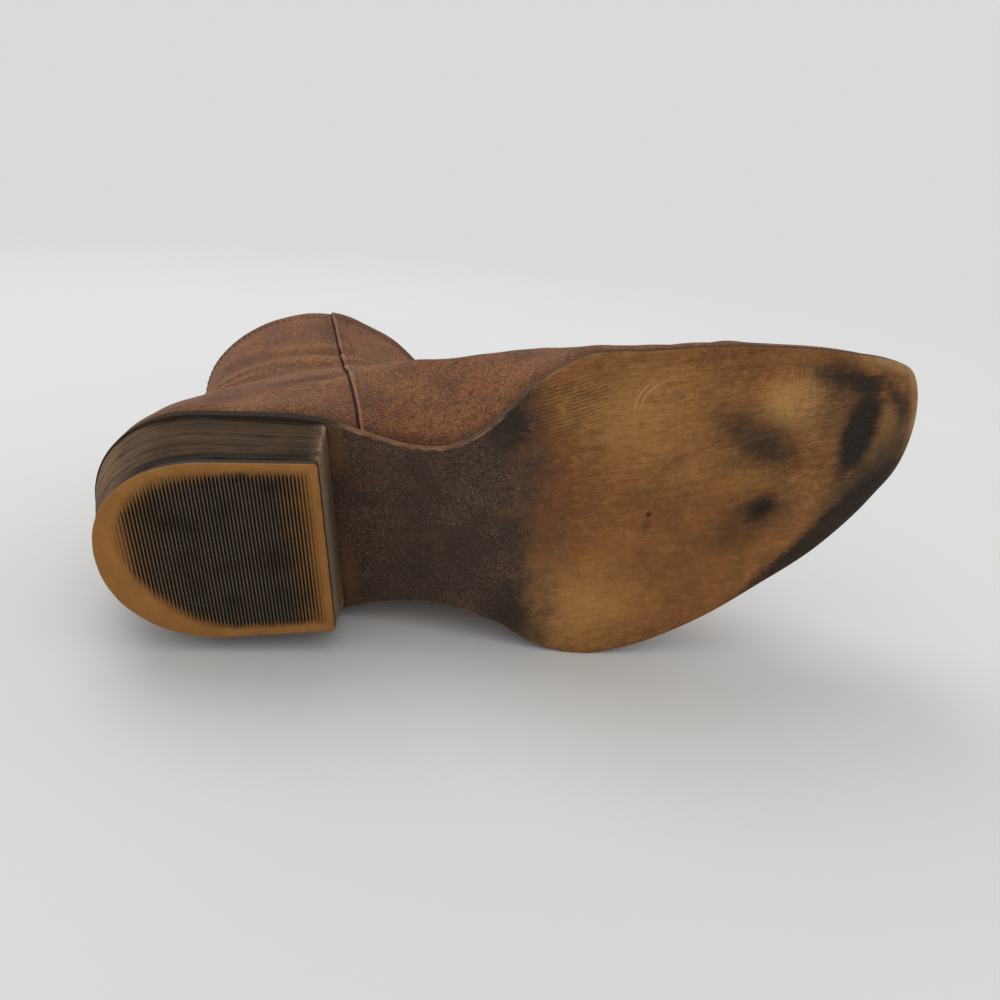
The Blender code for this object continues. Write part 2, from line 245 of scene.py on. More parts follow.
# Creases of the upper: place (x, z), turn in degrees, reach along, width, depth, and side
CREASES = (
    (171.0, 58.0, 24.0, 34.0, 3.6, 1.7, 0),
    (184.0, 52.0, 28.0, 30.0, 3.2, 2.2, 0),
    (197.0, 46.0, 33.0, 26.0, 3.0, 1.5, 0),
    (160.0, 40.0, 38.0, 20.0, 2.9, 1.0, -1),
    (176.0, 30.0, 44.0, 16.0, 2.4, 0.9, -1),
    (130.0, 98.0, 74.0, 36.0, 3.9, 1.8, 0),
    (118.0, 114.0, 80.0, 30.0, 3.6, 1.4, 0),
    (28.0, 92.0, 96.0, 26.0, 3.7, 1.5, 0),
    (22.0, 108.0, 92.0, 24.0, 3.3, 1.1, 0),
    (70.0, 104.0, 100.0, 30.0, 4.3, 1.1, -1),
    (62.0, 126.0, 84.0, 28.0, 5.0, 1.0, -1),
    (78.0, 74.0, 118.0, 24.0, 4.3, 0.9, 0),
)
# Ridges beside a crease: place and width in crease widths, and height as a share of its depth
RIDGE_PLACE = 2.1
RIDGE_WIDTH = 1.1
RIDGE_HEIGHT = 0.45
# Heights above the sole between which the creases set in, and the fold at which leather is rubbed
CREASE_START = (2.0, 12.0)
RUBBED_FOLD = 0.5

# Camera of the view, in the boot's own frame, turned down from its first aim to centre the boot
CAMERA_PLACE = (111.31, -120.36, -226.77)
CAMERA_AXIS = (0.09466, 0.23900, 0.96639)
CAMERA_RIGHT = (0.99502, 0.00778, -0.09938)
CAMERA_DIP = 11.0
CAMERA_SWING = 0.4
LENS = 28.42
SENSOR = 36.0

# Stage, in metres: the floor and where it fades into the surroundings, and the light overhead
FLOOR_RADII = (0.5, 2.0, 6.0, 24.0)
FLOOR_STEPS = 64
FLOOR_FADE = (0.30, 1.4)
KEY_PLACE = (-0.8, 1.2, 2.4)
KEY_SIZE = 2.1
KEY_AIM = (0.0, 0.0, 0.05)


def placement():
    """Matrix from the boot's own frame, in millimetres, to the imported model's, from its mounts."""
    mounts = {mount["name"]: mount for mount in frame["record"]["mounts"]}
    heel = Vector(mounts["heel_base"]["pos_m"])
    ball = Vector(mounts["forefoot_tread"]["pos_m"])
    up = -Vector(mounts["heel_base"]["axis"]).normalized()
    heel_local = Vector(HEEL_MOUNT)
    ball_local = Vector(BALL_MOUNT)
    along = ball - heel
    along = (along - up * along.dot(up)).normalized()
    turn = math.atan2(ball_local.y - heel_local.y, ball_local.x - heel_local.x)
    forward = along * math.cos(turn) - up.cross(along) * math.sin(turn)
    lateral = up.cross(forward)
    axes = Matrix((forward, lateral, up)).transposed()
    origin = heel - axes @ (heel_local * MM)
    return Matrix.Translation(origin) @ axes.to_4x4() @ Matrix.Scale(MM, 4)


PLACEMENT = placement()


class SoleSettings(bpy.types.PropertyGroup):
    edge_round: bpy.props.FloatProperty(
        name="Edge rounding", description="How far in the worn tread edge is rounded",
        default=0.0028, unit="LENGTH",
    )
    dome: bpy.props.FloatProperty(
        name="Dome", description="How far the tread edge is worn up across the sole",
        default=0.0008, unit="LENGTH",
    )
    worn: bpy.props.FloatVectorProperty(
        name="Worn leather", description="Bare brown leather of the forepart",
        default=(0.264, 0.105, 0.030), subtype="COLOR",
    )
    golden: bpy.props.FloatVectorProperty(
        name="Golden leather", description="Palest rubbed leather",
        default=(0.52, 0.260, 0.083), subtype="COLOR",
    )
    dyed: bpy.props.FloatVectorProperty(
        name="Dyed waist", description="Dark finish that is left in the waist",
        default=(0.071, 0.046, 0.033), subtype="COLOR",
    )
    soiled: bpy.props.FloatVectorProperty(
        name="Soiled patches", description="Dark scuffed patches near the toe",
        default=(0.015, 0.0112, 0.0087), subtype="COLOR",
    )


class HeelSettings(bpy.types.PropertyGroup):
    layers: bpy.props.IntProperty(
        name="Layers", description="Leather layers in the stack", default=13, min=3,
    )
    groove: bpy.props.FloatProperty(
        name="Groove", description="Depth of the line between two layers", default=0.0002, unit="LENGTH",
    )
    stack: bpy.props.FloatVectorProperty(
        name="Stack leather", description="Edge of the stacked layers",
        default=(0.066, 0.037, 0.019), subtype="COLOR",
    )
    rubber: bpy.props.FloatVectorProperty(
        name="Lift rubber", description="Clean tan rubber of the lift",
        default=(0.375, 0.165, 0.0445), subtype="COLOR",
    )
    grime: bpy.props.FloatVectorProperty(
        name="Lift grime", description="Dirt on and between the ribs",
        default=(0.010, 0.008, 0.006), subtype="COLOR",
    )
    rib_pitch: bpy.props.FloatProperty(
        name="Rib pitch", description="Step from one rib to the next", default=0.001145, unit="LENGTH",
    )
    rib_width: bpy.props.FloatProperty(
        name="Rib width", description="Width of a rib", default=0.00074, unit="LENGTH",
    )
    rib_depth: bpy.props.FloatProperty(
        name="Rib depth", description="Depth of the grooves between ribs", default=0.0005, unit="LENGTH",
    )


class UpperSettings(bpy.types.PropertyGroup):
    levels: bpy.props.IntProperty(
        name="Rings", description="Rings of the upper from the sole to the collar", default=112, min=20,
    )
    wall: bpy.props.FloatProperty(
        name="Leather", description="Thickness of the outer leather", default=0.0014, unit="LENGTH",
    )
    lining: bpy.props.FloatProperty(
        name="Lining", description="Thickness of the lining", default=0.0007, unit="LENGTH",
    )
    leather: bpy.props.FloatVectorProperty(
        name="Leather", description="Reddish brown of the upper",
        default=(0.270, 0.098, 0.039), subtype="COLOR",
    )
    rubbed: bpy.props.FloatVectorProperty(
        name="Rubbed leather", description="Tan where the finish is rubbed off",
        default=(0.50, 0.225, 0.090), subtype="COLOR",
    )
    lining_colour: bpy.props.FloatVectorProperty(
        name="Lining", description="Tan lining and sock", default=(0.40, 0.27, 0.165), subtype="COLOR",
    )
    thread: bpy.props.FloatVectorProperty(
        name="Thread", description="Stitching thread", default=(0.20, 0.105, 0.055), subtype="COLOR",
    )
    stitch: bpy.props.FloatProperty(
        name="Stitch", description="Length of one stitch", default=0.0024, unit="LENGTH",
    )
    stitch_pitch: bpy.props.FloatProperty(
        name="Stitch pitch", description="Step from one stitch to the next", default=0.0030, unit="LENGTH",
    )
    thread_width: bpy.props.FloatProperty(
        name="Thread width", description="Thickness of the thread", default=0.00062, unit="LENGTH",
    )


class StageSettings(bpy.types.PropertyGroup):
    floor: bpy.props.FloatVectorProperty(
        name="Floor", description="Pale floor", default=(0.83, 0.835, 0.83), subtype="COLOR",
    )
    sky: bpy.props.FloatVectorProperty(
        name="Surroundings", description="Soft light from all round", default=(0.70, 0.705, 0.70),
        subtype="COLOR",
    )
    key: bpy.props.FloatProperty(
        name="Key light", description="Strength of the large light overhead", default=20.0, unit="POWER",
    )


def column(rows, columns, name):
    """One named column of a table."""
    return np.array([row[columns.index(name)] for row in rows])


def smooth(stations, values, x):
    """A smooth curve through the rows of a table, read at x."""
    slopes = np.gradient(values, stations)
    x = np.clip(x, stations[0], stations[-1])
    i = np.clip(np.searchsorted(stations, x) - 1, 0, len(stations) - 2)
    span = stations[i + 1] - stations[i]
    t = (x - stations[i]) / span
    rise = values[i + 1] - values[i]
    bow = t * (1 - t) * ((1 - t) * (slopes[i] * span - rise) - t * (slopes[i + 1] * span - rise))
    return values[i] + rise * t + bow


def soft_step(value, low, high):
    """Smooth step from 0 at low to 1 at high."""
    t = np.clip((value - low) / (high - low), 0, 1)
    return t * t * (3 - 2 * t)


def ripple(points, wavelength, seed, waves=10):
    """Smooth unevenness between about -1 and 1, the same on every run."""
    chance = np.random.default_rng(seed)
    turns = chance.normal(size=(waves, points.shape[1]))
    turns /= np.linalg.norm(turns, axis=1)[:, None]
    turns *= (2 * math.pi / wavelength * chance.uniform(0.6, 1.6, waves))[:, None]
    phases = chance.uniform(0, 2 * math.pi, waves)
    return np.sin(points @ turns.T + phases).sum(axis=1) / math.sqrt(waves)


def uneven(points, waves):
    """The unevenness of a piece at points, from its table of waves."""
    return sum(height * ripple(points, wavelength, seed) for height, wavelength, seed in waves)


def end_round(u, power):
    """Half width left at the share u of the way into a rounded end."""
    return (1 - np.clip(u, 0, 1) ** power[0]) ** power[1]


def sole_edges(x):
    """Centre line and half width of the sole at x."""
    stations = column(EDGE_ROWS, EDGE_COLUMNS, "station")
    lateral = smooth(stations, column(EDGE_ROWS, EDGE_COLUMNS, "lateral"), x)
    medial = smooth(stations, column(EDGE_ROWS, EDGE_COLUMNS, "medial"), x)
    heel = end_round((HEEL_BACK + HEEL_ROUND - x) / HEEL_ROUND, HEEL_POWER)
    toe = end_round((x - TOE_ROUND) / (TOE_TIP - TOE_ROUND), TOE_POWER)
    return (lateral - medial) / 2, (lateral + medial) / 2 * heel * toe


def tread_height(x):
    """Underside of the outsole: flat tread, toe spring, shank and sloping heel seat."""
    u = np.clip((TREAD_BACK - x) / (TREAD_BACK - BREAST), 0, 1)
    shank = BREAST_HEIGHT * sum(weight * u**power for weight, power in SHANK_TERMS)
    seat = SEAT_SLOPE * np.clip(BREAST - x, 0, None)
    along_toe = np.clip((x - TREAD_FRONT) / (TOE_TIP - TREAD_FRONT), 0, 1)
    return shank + seat + TOE_SPRING * along_toe**TOE_SPRING_POWER


def sole_top(x):
    return tread_height(x) + SOLE_THICKNESS


def spaced(x, half, count, tip):
    """Stations at even steps along an edge; at a tip they start or end half a step short of it."""
    steps = np.hypot(np.diff(x), np.diff(half))
    run = np.concatenate([[0.0], np.cumsum(steps)])
    order = np.arange(count)
    share = {
        "both": (order + 0.5) / count,
        "first": (order + 0.5) / (count - 0.5),
        "last": order / (count - 0.5),
    }[tip]
    return np.interp(share * run[-1], run, x)


def loop_of(x, centre, half):
    """A closed outline from stations: up the lateral edge to the toe and back down the medial one."""
    lateral = np.column_stack([x, centre + half])
    medial = np.column_stack([x, centre - half])
    return np.vstack([lateral, medial[::-1]])


def inset(loop, distance):
    """The outline moved inwards by a distance, or by one for each point."""
    along = np.roll(loop, -1, axis=0) - np.roll(loop, 1, axis=0)
    outward = np.column_stack([-along[:, 1], along[:, 0]])
    outward /= np.linalg.norm(outward, axis=1)[:, None]
    return loop - outward * np.reshape(distance, (-1, 1))


def sole_outline(stations):
    """The sole's edge."""
    fine = HEEL_BACK + (TOE_TIP - HEEL_BACK) * (1 - np.cos(math.pi * FINE)) / 2
    x = spaced(fine, sole_edges(fine)[1], stations, "both")
    return loop_of(x, *sole_edges(x))


def edge_distance(points, loop):
    """Distance of each flat point from an outline."""
    ends = np.roll(loop, -1, axis=0)
    runs = ends - loop
    lengths = (runs**2).sum(axis=1)
    nearest = np.full(len(points), np.inf)
    for start, run, length in zip(loop, runs, lengths):
        t = np.clip(((points - start) @ run) / length, 0, 1)
        gap = points - start - t[:, None] * run
        nearest = np.minimum(nearest, (gap**2).sum(axis=1))
    return np.sqrt(nearest)


def heel_loop(back, front, half, front_half, round_length, swing):
    """A heel lift's outline: round behind, small round corners and a straight breast of even steps."""

    def width(x):
        taper = np.clip(2 * (x - back) / (front - back) - 1, 0, 1)
        straight = half + (front_half - half) * taper
        return straight * end_round((back + round_length - x) / round_length, HEEL_POWER)

    def middle(x):
        return swing[0] + (swing[1] - swing[0]) * (x - back) / (front - back)

    last = front - CORNER
    fine = back + (last - back) * (1 - np.cos(math.pi / 2 * FINE))
    x = spaced(fine, width(fine), HEEL_STATIONS, "first")
    turn = np.linspace(0, math.pi / 2, 6)[1:]
    corner_x = last + CORNER * np.sin(turn)
    trim = np.concatenate([np.zeros(len(x)), CORNER * (1 - np.cos(turn))])
    x = np.concatenate([x, corner_x])
    lateral = np.column_stack([x, middle(x) + width(x) - trim])
    medial = np.column_stack([x, middle(x) - width(x) + trim])
    shares = np.arange(1, HEEL_COLUMNS)[:, None] / HEEL_COLUMNS
    breast = lateral[-1] + (medial[-1] - lateral[-1]) * shares
    return np.vstack([lateral, breast, medial[::-1]])


def lift_loop():
    return heel_loop(LIFT_BACK, LIFT_FRONT, LIFT_HALF, LIFT_FRONT_HALF, LIFT_ROUND, LIFT_SWING)


def seat_loop():
    half, front_half = (sum(EDGE_ROWS[row][1:]) / 2 - STACK_INSET for row in (1, 2))
    swing = (EDGE_ROWS[1][1] - EDGE_ROWS[1][2]) / 2, (EDGE_ROWS[2][1] - EDGE_ROWS[2][2]) / 2
    return heel_loop(HEEL_BACK + STACK_INSET, SEAT_FRONT, half, front_half, HEEL_ROUND, swing)


class Shell:
    """Points and faces of a piece, gathered ring by ring."""

    def __init__(self):
        self.points = []
        self.faces = []

    def ring(self, points):
        first = len(self.points)
        self.points.extend(map(tuple, points))
        return list(range(first, len(self.points)))

    def bridge(self, lower, upper):
        """A band of faces between two closed rings."""
        count = len(lower)
        for i in range(count):
            j = (i + 1) % count
            self.faces.append((lower[i], lower[j], upper[j], upper[i]))

    def sides(self, rings):
        """Bands of faces from each ring to the next."""
        for lower, upper in zip(rings, rings[1:]):
            self.bridge(lower, upper)

    def cap(self, ring):
        self.faces.append(tuple(ring))

    def ladder(self, ring, columns, height, breast=False):
        """Closes a ring from side to side, with rungs that follow the height at x and y.

        With a breast, the last rung is the ring's own straight front.
        """
        rungs = (len(ring) - (columns - 1 if breast else 0)) // 2
        rows = []
        for i in range(rungs):
            a, b = ring[i], ring[-1 - i]
            if breast and i == rungs - 1:
                rows.append(ring[i : i + columns + 1])
            elif i == 0 or i == rungs - 1:
                rows.append([a, b])
            else:
                shares = (1 - np.cos(math.pi * np.arange(1, columns) / columns)) / 2
                start, end = np.array(self.points[a][:2]), np.array(self.points[b][:2])
                flat = start + (end - start) * shares[:, None]
                inner = self.ring(np.column_stack([flat, height(flat)]))
                rows.append([a, *inner, b])
        for near, far in zip(rows, rows[1:]):
            if len(near) == len(far):
                for k in range(len(near) - 1):
                    self.faces.append((near[k], near[k + 1], far[k + 1], far[k]))
            else:
                self.faces.append((*near, *far[::-1]))

    def array(self):
        return np.array(self.points)


def plain_mesh(name, points, faces):
    """A mesh in the boot's own frame with all its faces turned outwards."""
    mesh = bpy.data.meshes.new(name)
    mesh.from_pydata(np.asarray(points).tolist(), [], faces)
    bm = bmesh.new()
    bm.from_mesh(mesh)
    bmesh.ops.recalc_face_normals(bm, faces=bm.faces)
    bm.to_mesh(mesh)
    bm.free()
    return mesh


def lay(name, mesh, material, sharp_degrees=SHARP, **values):
    """Writes the attributes, lays the mesh down with the boot and makes the object."""
    points = np.empty(len(mesh.vertices) * 3, np.float32)
    mesh.vertices.foreach_get("co", points)
    mesh.attributes.new("boot", "FLOAT_VECTOR", "POINT").data.foreach_set("vector", points)
    for label, numbers in values.items():
        layer = mesh.attributes.new(label, "FLOAT", "POINT")
        layer.data.foreach_set("value", np.asarray(numbers, np.float32))
    mesh.transform(PLACEMENT)
    mesh.materials.clear()
    mesh.materials.append(material)
    mesh.shade_smooth()
    mesh.set_sharp_from_angle(angle=math.radians(sharp_degrees))
    obj = bpy.data.objects.new(name, mesh)
    bpy.context.scene.collection.objects.link(obj)
    return obj


def fit(obj, slot, *nodes):
    """The piece rides with the boot and hides the CAD nodes that it stands for; its slot is not used."""
    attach(obj, "root")
    if nodes:
        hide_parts(*nodes)
    return obj


class Graph:
    """Builds a node tree a line at a time."""

    def __init__(self, tree):
        self.tree = tree

    def node(self, kind, inputs=None, **settings):
        made = self.tree.nodes.new(kind)
        for label, value in settings.items():
            setattr(made, label, value)
        for key, value in (inputs or {}).items():
            self.put(made.inputs[key], value)
        return made

    def put(self, socket, value):
        if isinstance(value, bpy.types.NodeSocket):
            self.tree.links.new(value, socket)
        else:
            socket.default_value = value

    def math(self, operation, *values):
        return self.node("ShaderNodeMath", dict(enumerate(values)), operation=operation).outputs[0]

    def times(self, *factors):
        """The product of values and masks."""
        product = factors[0]
        for factor in factors[1:]:
            product = self.math("MULTIPLY", product, factor)
        return product

    def shift(self, value, *noises):
        """A value moved to and fro by noises, each with its amount."""
        for noise, amount in noises:
            value = self.math("MULTIPLY_ADD", self.math("SUBTRACT", noise, 0.5), amount, value)
        return value

    def step(self, value, low, high, to_low=0.0, to_high=1.0):
        """A smooth step between two values; it falls where low is the greater limit."""
        inputs = {0: value, 1: low, 2: high, 3: to_low, 4: to_high}
        return self.node("ShaderNodeMapRange", inputs, interpolation_type="SMOOTHSTEP").outputs[0]

    def vector(self, operation, *values):
        return self.node("ShaderNodeVectorMath", dict(enumerate(values)), operation=operation).outputs[0]

    def length(self, vector):
        return self.node("ShaderNodeVectorMath", {0: vector}, operation="LENGTH").outputs["Value"]

    def axes(self, vector):
        """The sockets x, y and z of a vector."""
        return self.node("ShaderNodeSeparateXYZ", {0: vector}).outputs

    def joined(self, x, y, z):
        return self.node("ShaderNodeCombineXYZ", {0: x, 1: y, 2: z}).outputs[0]

    def stretch(self, vector, scale):
        return self.node("ShaderNodeMapping", {"Vector": vector, "Scale": scale}).outputs[0]

    def turned(self, vector, degrees):
        turn = (0.0, 0.0, math.radians(degrees))
        return self.node("ShaderNodeMapping", {"Vector": vector, "Rotation": turn}).outputs[0]

    def noise(self, vector, scale, detail, roughness, output=0, offset=None):
        """Noise as a value, or as a colour with output 1; an offset takes it from another place."""
        if offset:
            vector = self.vector("ADD", vector, offset)
        inputs = {"Vector": vector, "Scale": scale, "Detail": detail, "Roughness": roughness}
        return self.node("ShaderNodeTexNoise", inputs).outputs[output]

    def mix(self, factor, a, b):
        inputs = {0: factor, 6: solid(a), 7: solid(b)}
        return self.node("ShaderNodeMix", inputs, data_type="RGBA").outputs[2]

    def over(self, colour, *layers):
        """A colour with others laid over it, each by its mask, strength and colour."""
        for mask, strength, other in layers:
            colour = self.mix(self.times(mask, strength), colour, other)
        return colour

    def group(self, name, inputs):
        """Outputs of a shared group, which is built the first time that a material asks for it."""
        tree = bpy.data.node_groups.get(name) or GROUPS[name](name)
        return self.node("ShaderNodeGroup", inputs, node_tree=tree).outputs

    def effect(self, name, place, scale=1.0):
        return self.group(name, {"Place": place, "Scale": scale})


def solid(colour):
    """A colour with its alpha, or the socket that gives it."""
    if isinstance(colour, bpy.types.NodeSocket):
        return colour
    return (*tuple(colour)[:3], 1.0)


def shades(colour, *factors):
    """The same colour made darker or lighter."""
    return [tuple(part * factor for part in colour) for factor in factors]


VECTOR, FLOAT = "NodeSocketVector", "NodeSocketFloat"
ENDLESS = 1e6


def shader_group(name, inputs, outputs):
    """A new shader group: (graph, its input sockets by name, a function that sets its outputs)."""
    tree = bpy.data.node_groups.new(name, "ShaderNodeTree")
    for label, kind, default in inputs:
        socket = tree.interface.new_socket(label, in_out="INPUT", socket_type=kind)
        if default is not None:
            socket.default_value = default
    for label in outputs:
        tree.interface.new_socket(label, in_out="OUTPUT", socket_type=FLOAT)
    graph = Graph(tree)
    entry = graph.node("NodeGroupInput").outputs
    end = graph.node("NodeGroupOutput").inputs

    def give(**values):
        for label, value in values.items():
            tree.links.new(value, end[label])

    return graph, entry, give


def effect_group(name, *outputs):
    """A new shader group for an effect: (graph, the place at its scale, a function for its outputs)."""
    graph, entry, give = shader_group(name, [("Place", VECTOR, None), ("Scale", FLOAT, 1.0)], outputs)
    return graph, graph.vector("MULTIPLY", entry["Place"], entry["Scale"]), give


def build_patch(name):
    """A soft oval in the sole's plane, ragged along the boot as brushing leaves it."""
    inputs = [
        ("Place", VECTOR, None),
        ("Rag", FLOAT, 0.0),
        ("Centre", VECTOR, (0.0, 0.0, 0.0)),
        ("Half size", VECTOR, (10.0, 10.0, ENDLESS)),
        ("Turn", VECTOR, (0.0, 0.0, 0.0)),
        ("Softness", FLOAT, 0.5),
        ("Ragged", FLOAT, 0.5),
    ]
    graph, entry, give = shader_group(name, inputs, ["Mask"])
    local = graph.node(
        "ShaderNodeMapping",
        {
            "Vector": entry["Place"], "Location": entry["Centre"],
            "Rotation": entry["Turn"], "Scale": entry["Half size"],
        },
        vector_type="TEXTURE",
    ).outputs[0]
    frayed = graph.math("MULTIPLY_ADD", entry["Rag"], entry["Ragged"], graph.length(local))
    outer = graph.math("ADD", 1.0, entry["Softness"])
    inner = graph.math("SUBTRACT", 1.0, entry["Softness"])
    give(Mask=graph.step(frayed, outer, inner))
    return graph.tree


def build_streaks(name):
    """Fine brushed lines along the boot, and a few longer scratches."""
    graph, sized, give = effect_group(name, "Lines", "Scratches")
    drift = graph.stretch(graph.noise(sized, 0.012, 1.0, 0.4, output=1), (0.0, 4.0, 0.0))
    leaning = graph.turned(graph.vector("ADD", sized, drift), 5.0)
    fine = graph.noise(graph.stretch(leaning, (0.17, 2.9, 2.9)), 1.0, 4.0, 0.66)
    broad = graph.noise(graph.stretch(leaning, (0.05, 0.62, 0.62)), 1.0, 4.0, 0.6)
    thin = graph.noise(graph.stretch(leaning, (0.05, 4.2, 4.2)), 1.0, 2.0, 0.5)
    lines = graph.step(graph.shift(fine, (broad, 0.6)), 0.30, 0.70)
    give(Lines=lines, Scratches=graph.step(thin, 0.66, 0.76))
    return graph.tree


def build_grain(name):
    """Pebbled leather grain with pores: its height and where the pores are."""
    graph, sized, give = effect_group(name, "Height", "Pores")
    drift = graph.stretch(graph.noise(sized, 0.6, 2.0, 0.5, output=1), (1.1, 1.1, 1.1))
    bent = graph.vector("ADD", sized, drift)
    cells = graph.node("ShaderNodeTexVoronoi", {"Vector": bent, "Scale": 0.75}).outputs[0]
    fine = graph.noise(sized, 1.6, 4.0, 0.6)
    wide = graph.noise(sized, 0.16, 3.0, 0.5)
    pebble = graph.step(cells, 0.05, 0.75, 1.0, 0.0)
    height = graph.math("MULTIPLY_ADD", fine, 0.5, graph.math("MULTIPLY_ADD", wide, 0.8, pebble))
    give(Height=height, Pores=graph.step(graph.times(fine, pebble), 0.16, 0.02))
    return graph.tree


def build_specks(name):
    """Fine speckle: a grainy value round a half, and a mask of sparse pale dots."""
    graph, sized, give = effect_group(name, "Grainy", "Dots")
    dots = graph.noise(sized, 1.1, 1.0, 0.4, offset=(31.0, 17.0, 5.0))
    give(Grainy=graph.noise(sized, 1.5, 3.0, 0.75), Dots=graph.step(dots, 0.70, 0.80))
    return graph.tree


GROUPS = {
    "Soft patch": build_patch,
    "Brushed streaks": build_streaks,
    "Leather grain": build_grain,
    "Fine speckle": build_specks,
}


class Finish(Graph):
    """The node tree of a new material."""

    def __init__(self, name):
        self.material = bpy.data.materials.new(name)
        self.material.use_nodes = True
        super().__init__(self.material.node_tree)
        self.shader = self.tree.nodes["Principled BSDF"]

    def boot(self):
        """The boot's own coordinates, which the mesh carries."""
        return self.node("ShaderNodeAttribute", attribute_name="boot").outputs["Vector"]

    def value(self, name):
        """A value that the mesh carries."""
        return self.node("ShaderNodeAttribute", attribute_name=name).outputs["Fac"]

    def surface(self, colour, roughness, specular=0.5):
        """Colour and roughness, which may change over the surface, and the specular level."""
        self.put(self.shader.inputs["Base Color"], colour)
        self.put(self.shader.inputs["Roughness"], roughness)
        self.shader.inputs["Specular IOR Level"].default_value = specular

    def relief(self, height, strength, depth):
        """Fine relief, with its depth in millimetres."""
        inputs = {"Height": height, "Strength": strength, "Distance": depth * MM}
        self.put(self.shader.inputs["Normal"], self.node("ShaderNodeBump", inputs).outputs[0])


# Shades of the sole
REDDISH = (0.185, 0.064, 0.024)
PALE = (0.56, 0.32, 0.135)
GREY_DUST = (0.150, 0.108, 0.082)
DARK_PITS = (0.024, 0.018, 0.015)
BROWN_DUST = (0.120, 0.064, 0.038)
DARK_CLOUDS = (0.036, 0.027, 0.022)
PALE_GRIT = (0.30, 0.22, 0.16)
DARKEST = (0.024, 0.019, 0.017)
TAN_CORNERS = (0.190, 0.092, 0.040)
OLIVE = (0.128, 0.074, 0.029)
SCORED = (0.052, 0.030, 0.019)
RAKED = (0.070, 0.040, 0.024)
RUBBED_TOE = (0.42, 0.245, 0.102)
# Thin line along the inner waist's edge: rubbed leather with a painted highlight
WAIST_RUB_AND_HIGHLIGHT = (0.40, 0.23, 0.115)
CUT_EDGE = (0.085, 0.048, 0.028)
CUT_EDGE_SEAT = (0.046, 0.029, 0.020)
CUT_EDGE_LINES = (0.022, 0.014, 0.010)
WORN_EDGE_BACK = (0.34, 0.150, 0.062)
WORN_EDGE_FRONT = (0.150, 0.098, 0.064)

# Shades of the heel stack, its plain breast and its corners
# Back of the stack: rubbed leather and painted light
BACK_RUB_AND_PAINTED_LIGHT = (0.26, 0.150, 0.076)
BREAST_GRAIN = ((0.180, 0.122, 0.084), (0.36, 0.255, 0.175))
# Darker top of the breast: painted shade
BREAST_PAINTED_SHADE = (0.085, 0.052, 0.033)
BREAST_ENDS = (0.24, 0.135, 0.062)
# Corners of the breast: worn leather and a painted highlight
CORNER_WEAR_AND_HIGHLIGHT = (0.40, 0.275, 0.175)

# Shades of the lift: dark grains, dust with its blots, and the dye on the sides
RUBBER_GRAIN = (0.150, 0.066, 0.024)
LIFT_DUST = ((0.055, 0.046, 0.034), (0.140, 0.117, 0.085))
LIFT_BLOTS = (0.034, 0.027, 0.020)
LIFT_DYE = ((0.014, 0.010, 0.008), (0.050, 0.034, 0.024))

# Shades of the upper
DARK_MOTTLE = (0.050, 0.018, 0.010)
DARK_FLECKS = (0.045, 0.017, 0.010)
PORES = (0.030, 0.012, 0.008)
DUSTY_GRAIN = (0.115, 0.062, 0.050)
COUNTER = (0.215, 0.140, 0.092)
FOOT_DIRT = (0.036, 0.018, 0.012)
# A painted shadow behind the seam's lap
SEAM_PAINTED_SHADOW = (0.008, 0.004, 0.003)

# Patches of the sole: centre, half sizes, turn, softness, ragged edge, strength
GOLDEN_PATCHES = (
    ((228.5, -43.5), (9.5, 7.2), 6.0, 0.70, 0.9, 0.95),
    ((236.0, -40.0), (6.0, 9.0), 0.0, 0.9, 1.2, 0.34),
    ((220.0, -17.5), (9.0, 5.0), 8.0, 0.8, 1.2, 0.22),
    ((264.0, -36.0), (4.0, 8.0), 10.0, 0.9, 1.2, 0.34),
    ((159.0, 28.0), (20.0, 14.0), 0.0, 0.95, 1.4, 0.70),
    ((190.0, 6.0), (26.0, 10.0), 0.0, 0.9, 1.4, 0.05),
    ((177.0, -43.0), (17.0, 13.0), 0.0, 0.95, 1.4, 0.62),
    ((238.0, -10.0), (8.0, 8.0), 0.0, 0.9, 1.4, 0.16),
    ((194.0, -22.0), (14.0, 8.0), 0.0, 0.9, 1.4, 0.16),
)
REDDISH_PATCHES = (
    ((155.0, -16.0), (15.0, 26.0), 0.0, 0.8, 1.2, 0.60),
    ((150.0, 22.0), (8.0, 16.0), 0.0, 0.8, 1.2, 0.25),
    ((200.0, 0.0), (16.0, 10.0), 0.0, 0.9, 1.4, 0.35),
    ((196.0, 30.0), (20.0, 8.0), -24.0, 0.9, 1.4, 0.35),
    ((215.0, -57.5), (28.0, 4.5), 4.0, 0.9, 1.0, 0.55),
)
OLIVE_PATCHES = (
    ((267.0, -27.0), (9.0, 16.0), 6.0, 0.8, 1.2, 0.55),
    ((259.5, -15.0), (16.0, 6.5), -41.0, 0.8, 1.2, 0.66),
    ((246.0, -41.0), (9.0, 8.0), 0.0, 0.9, 1.4, 0.45),
)
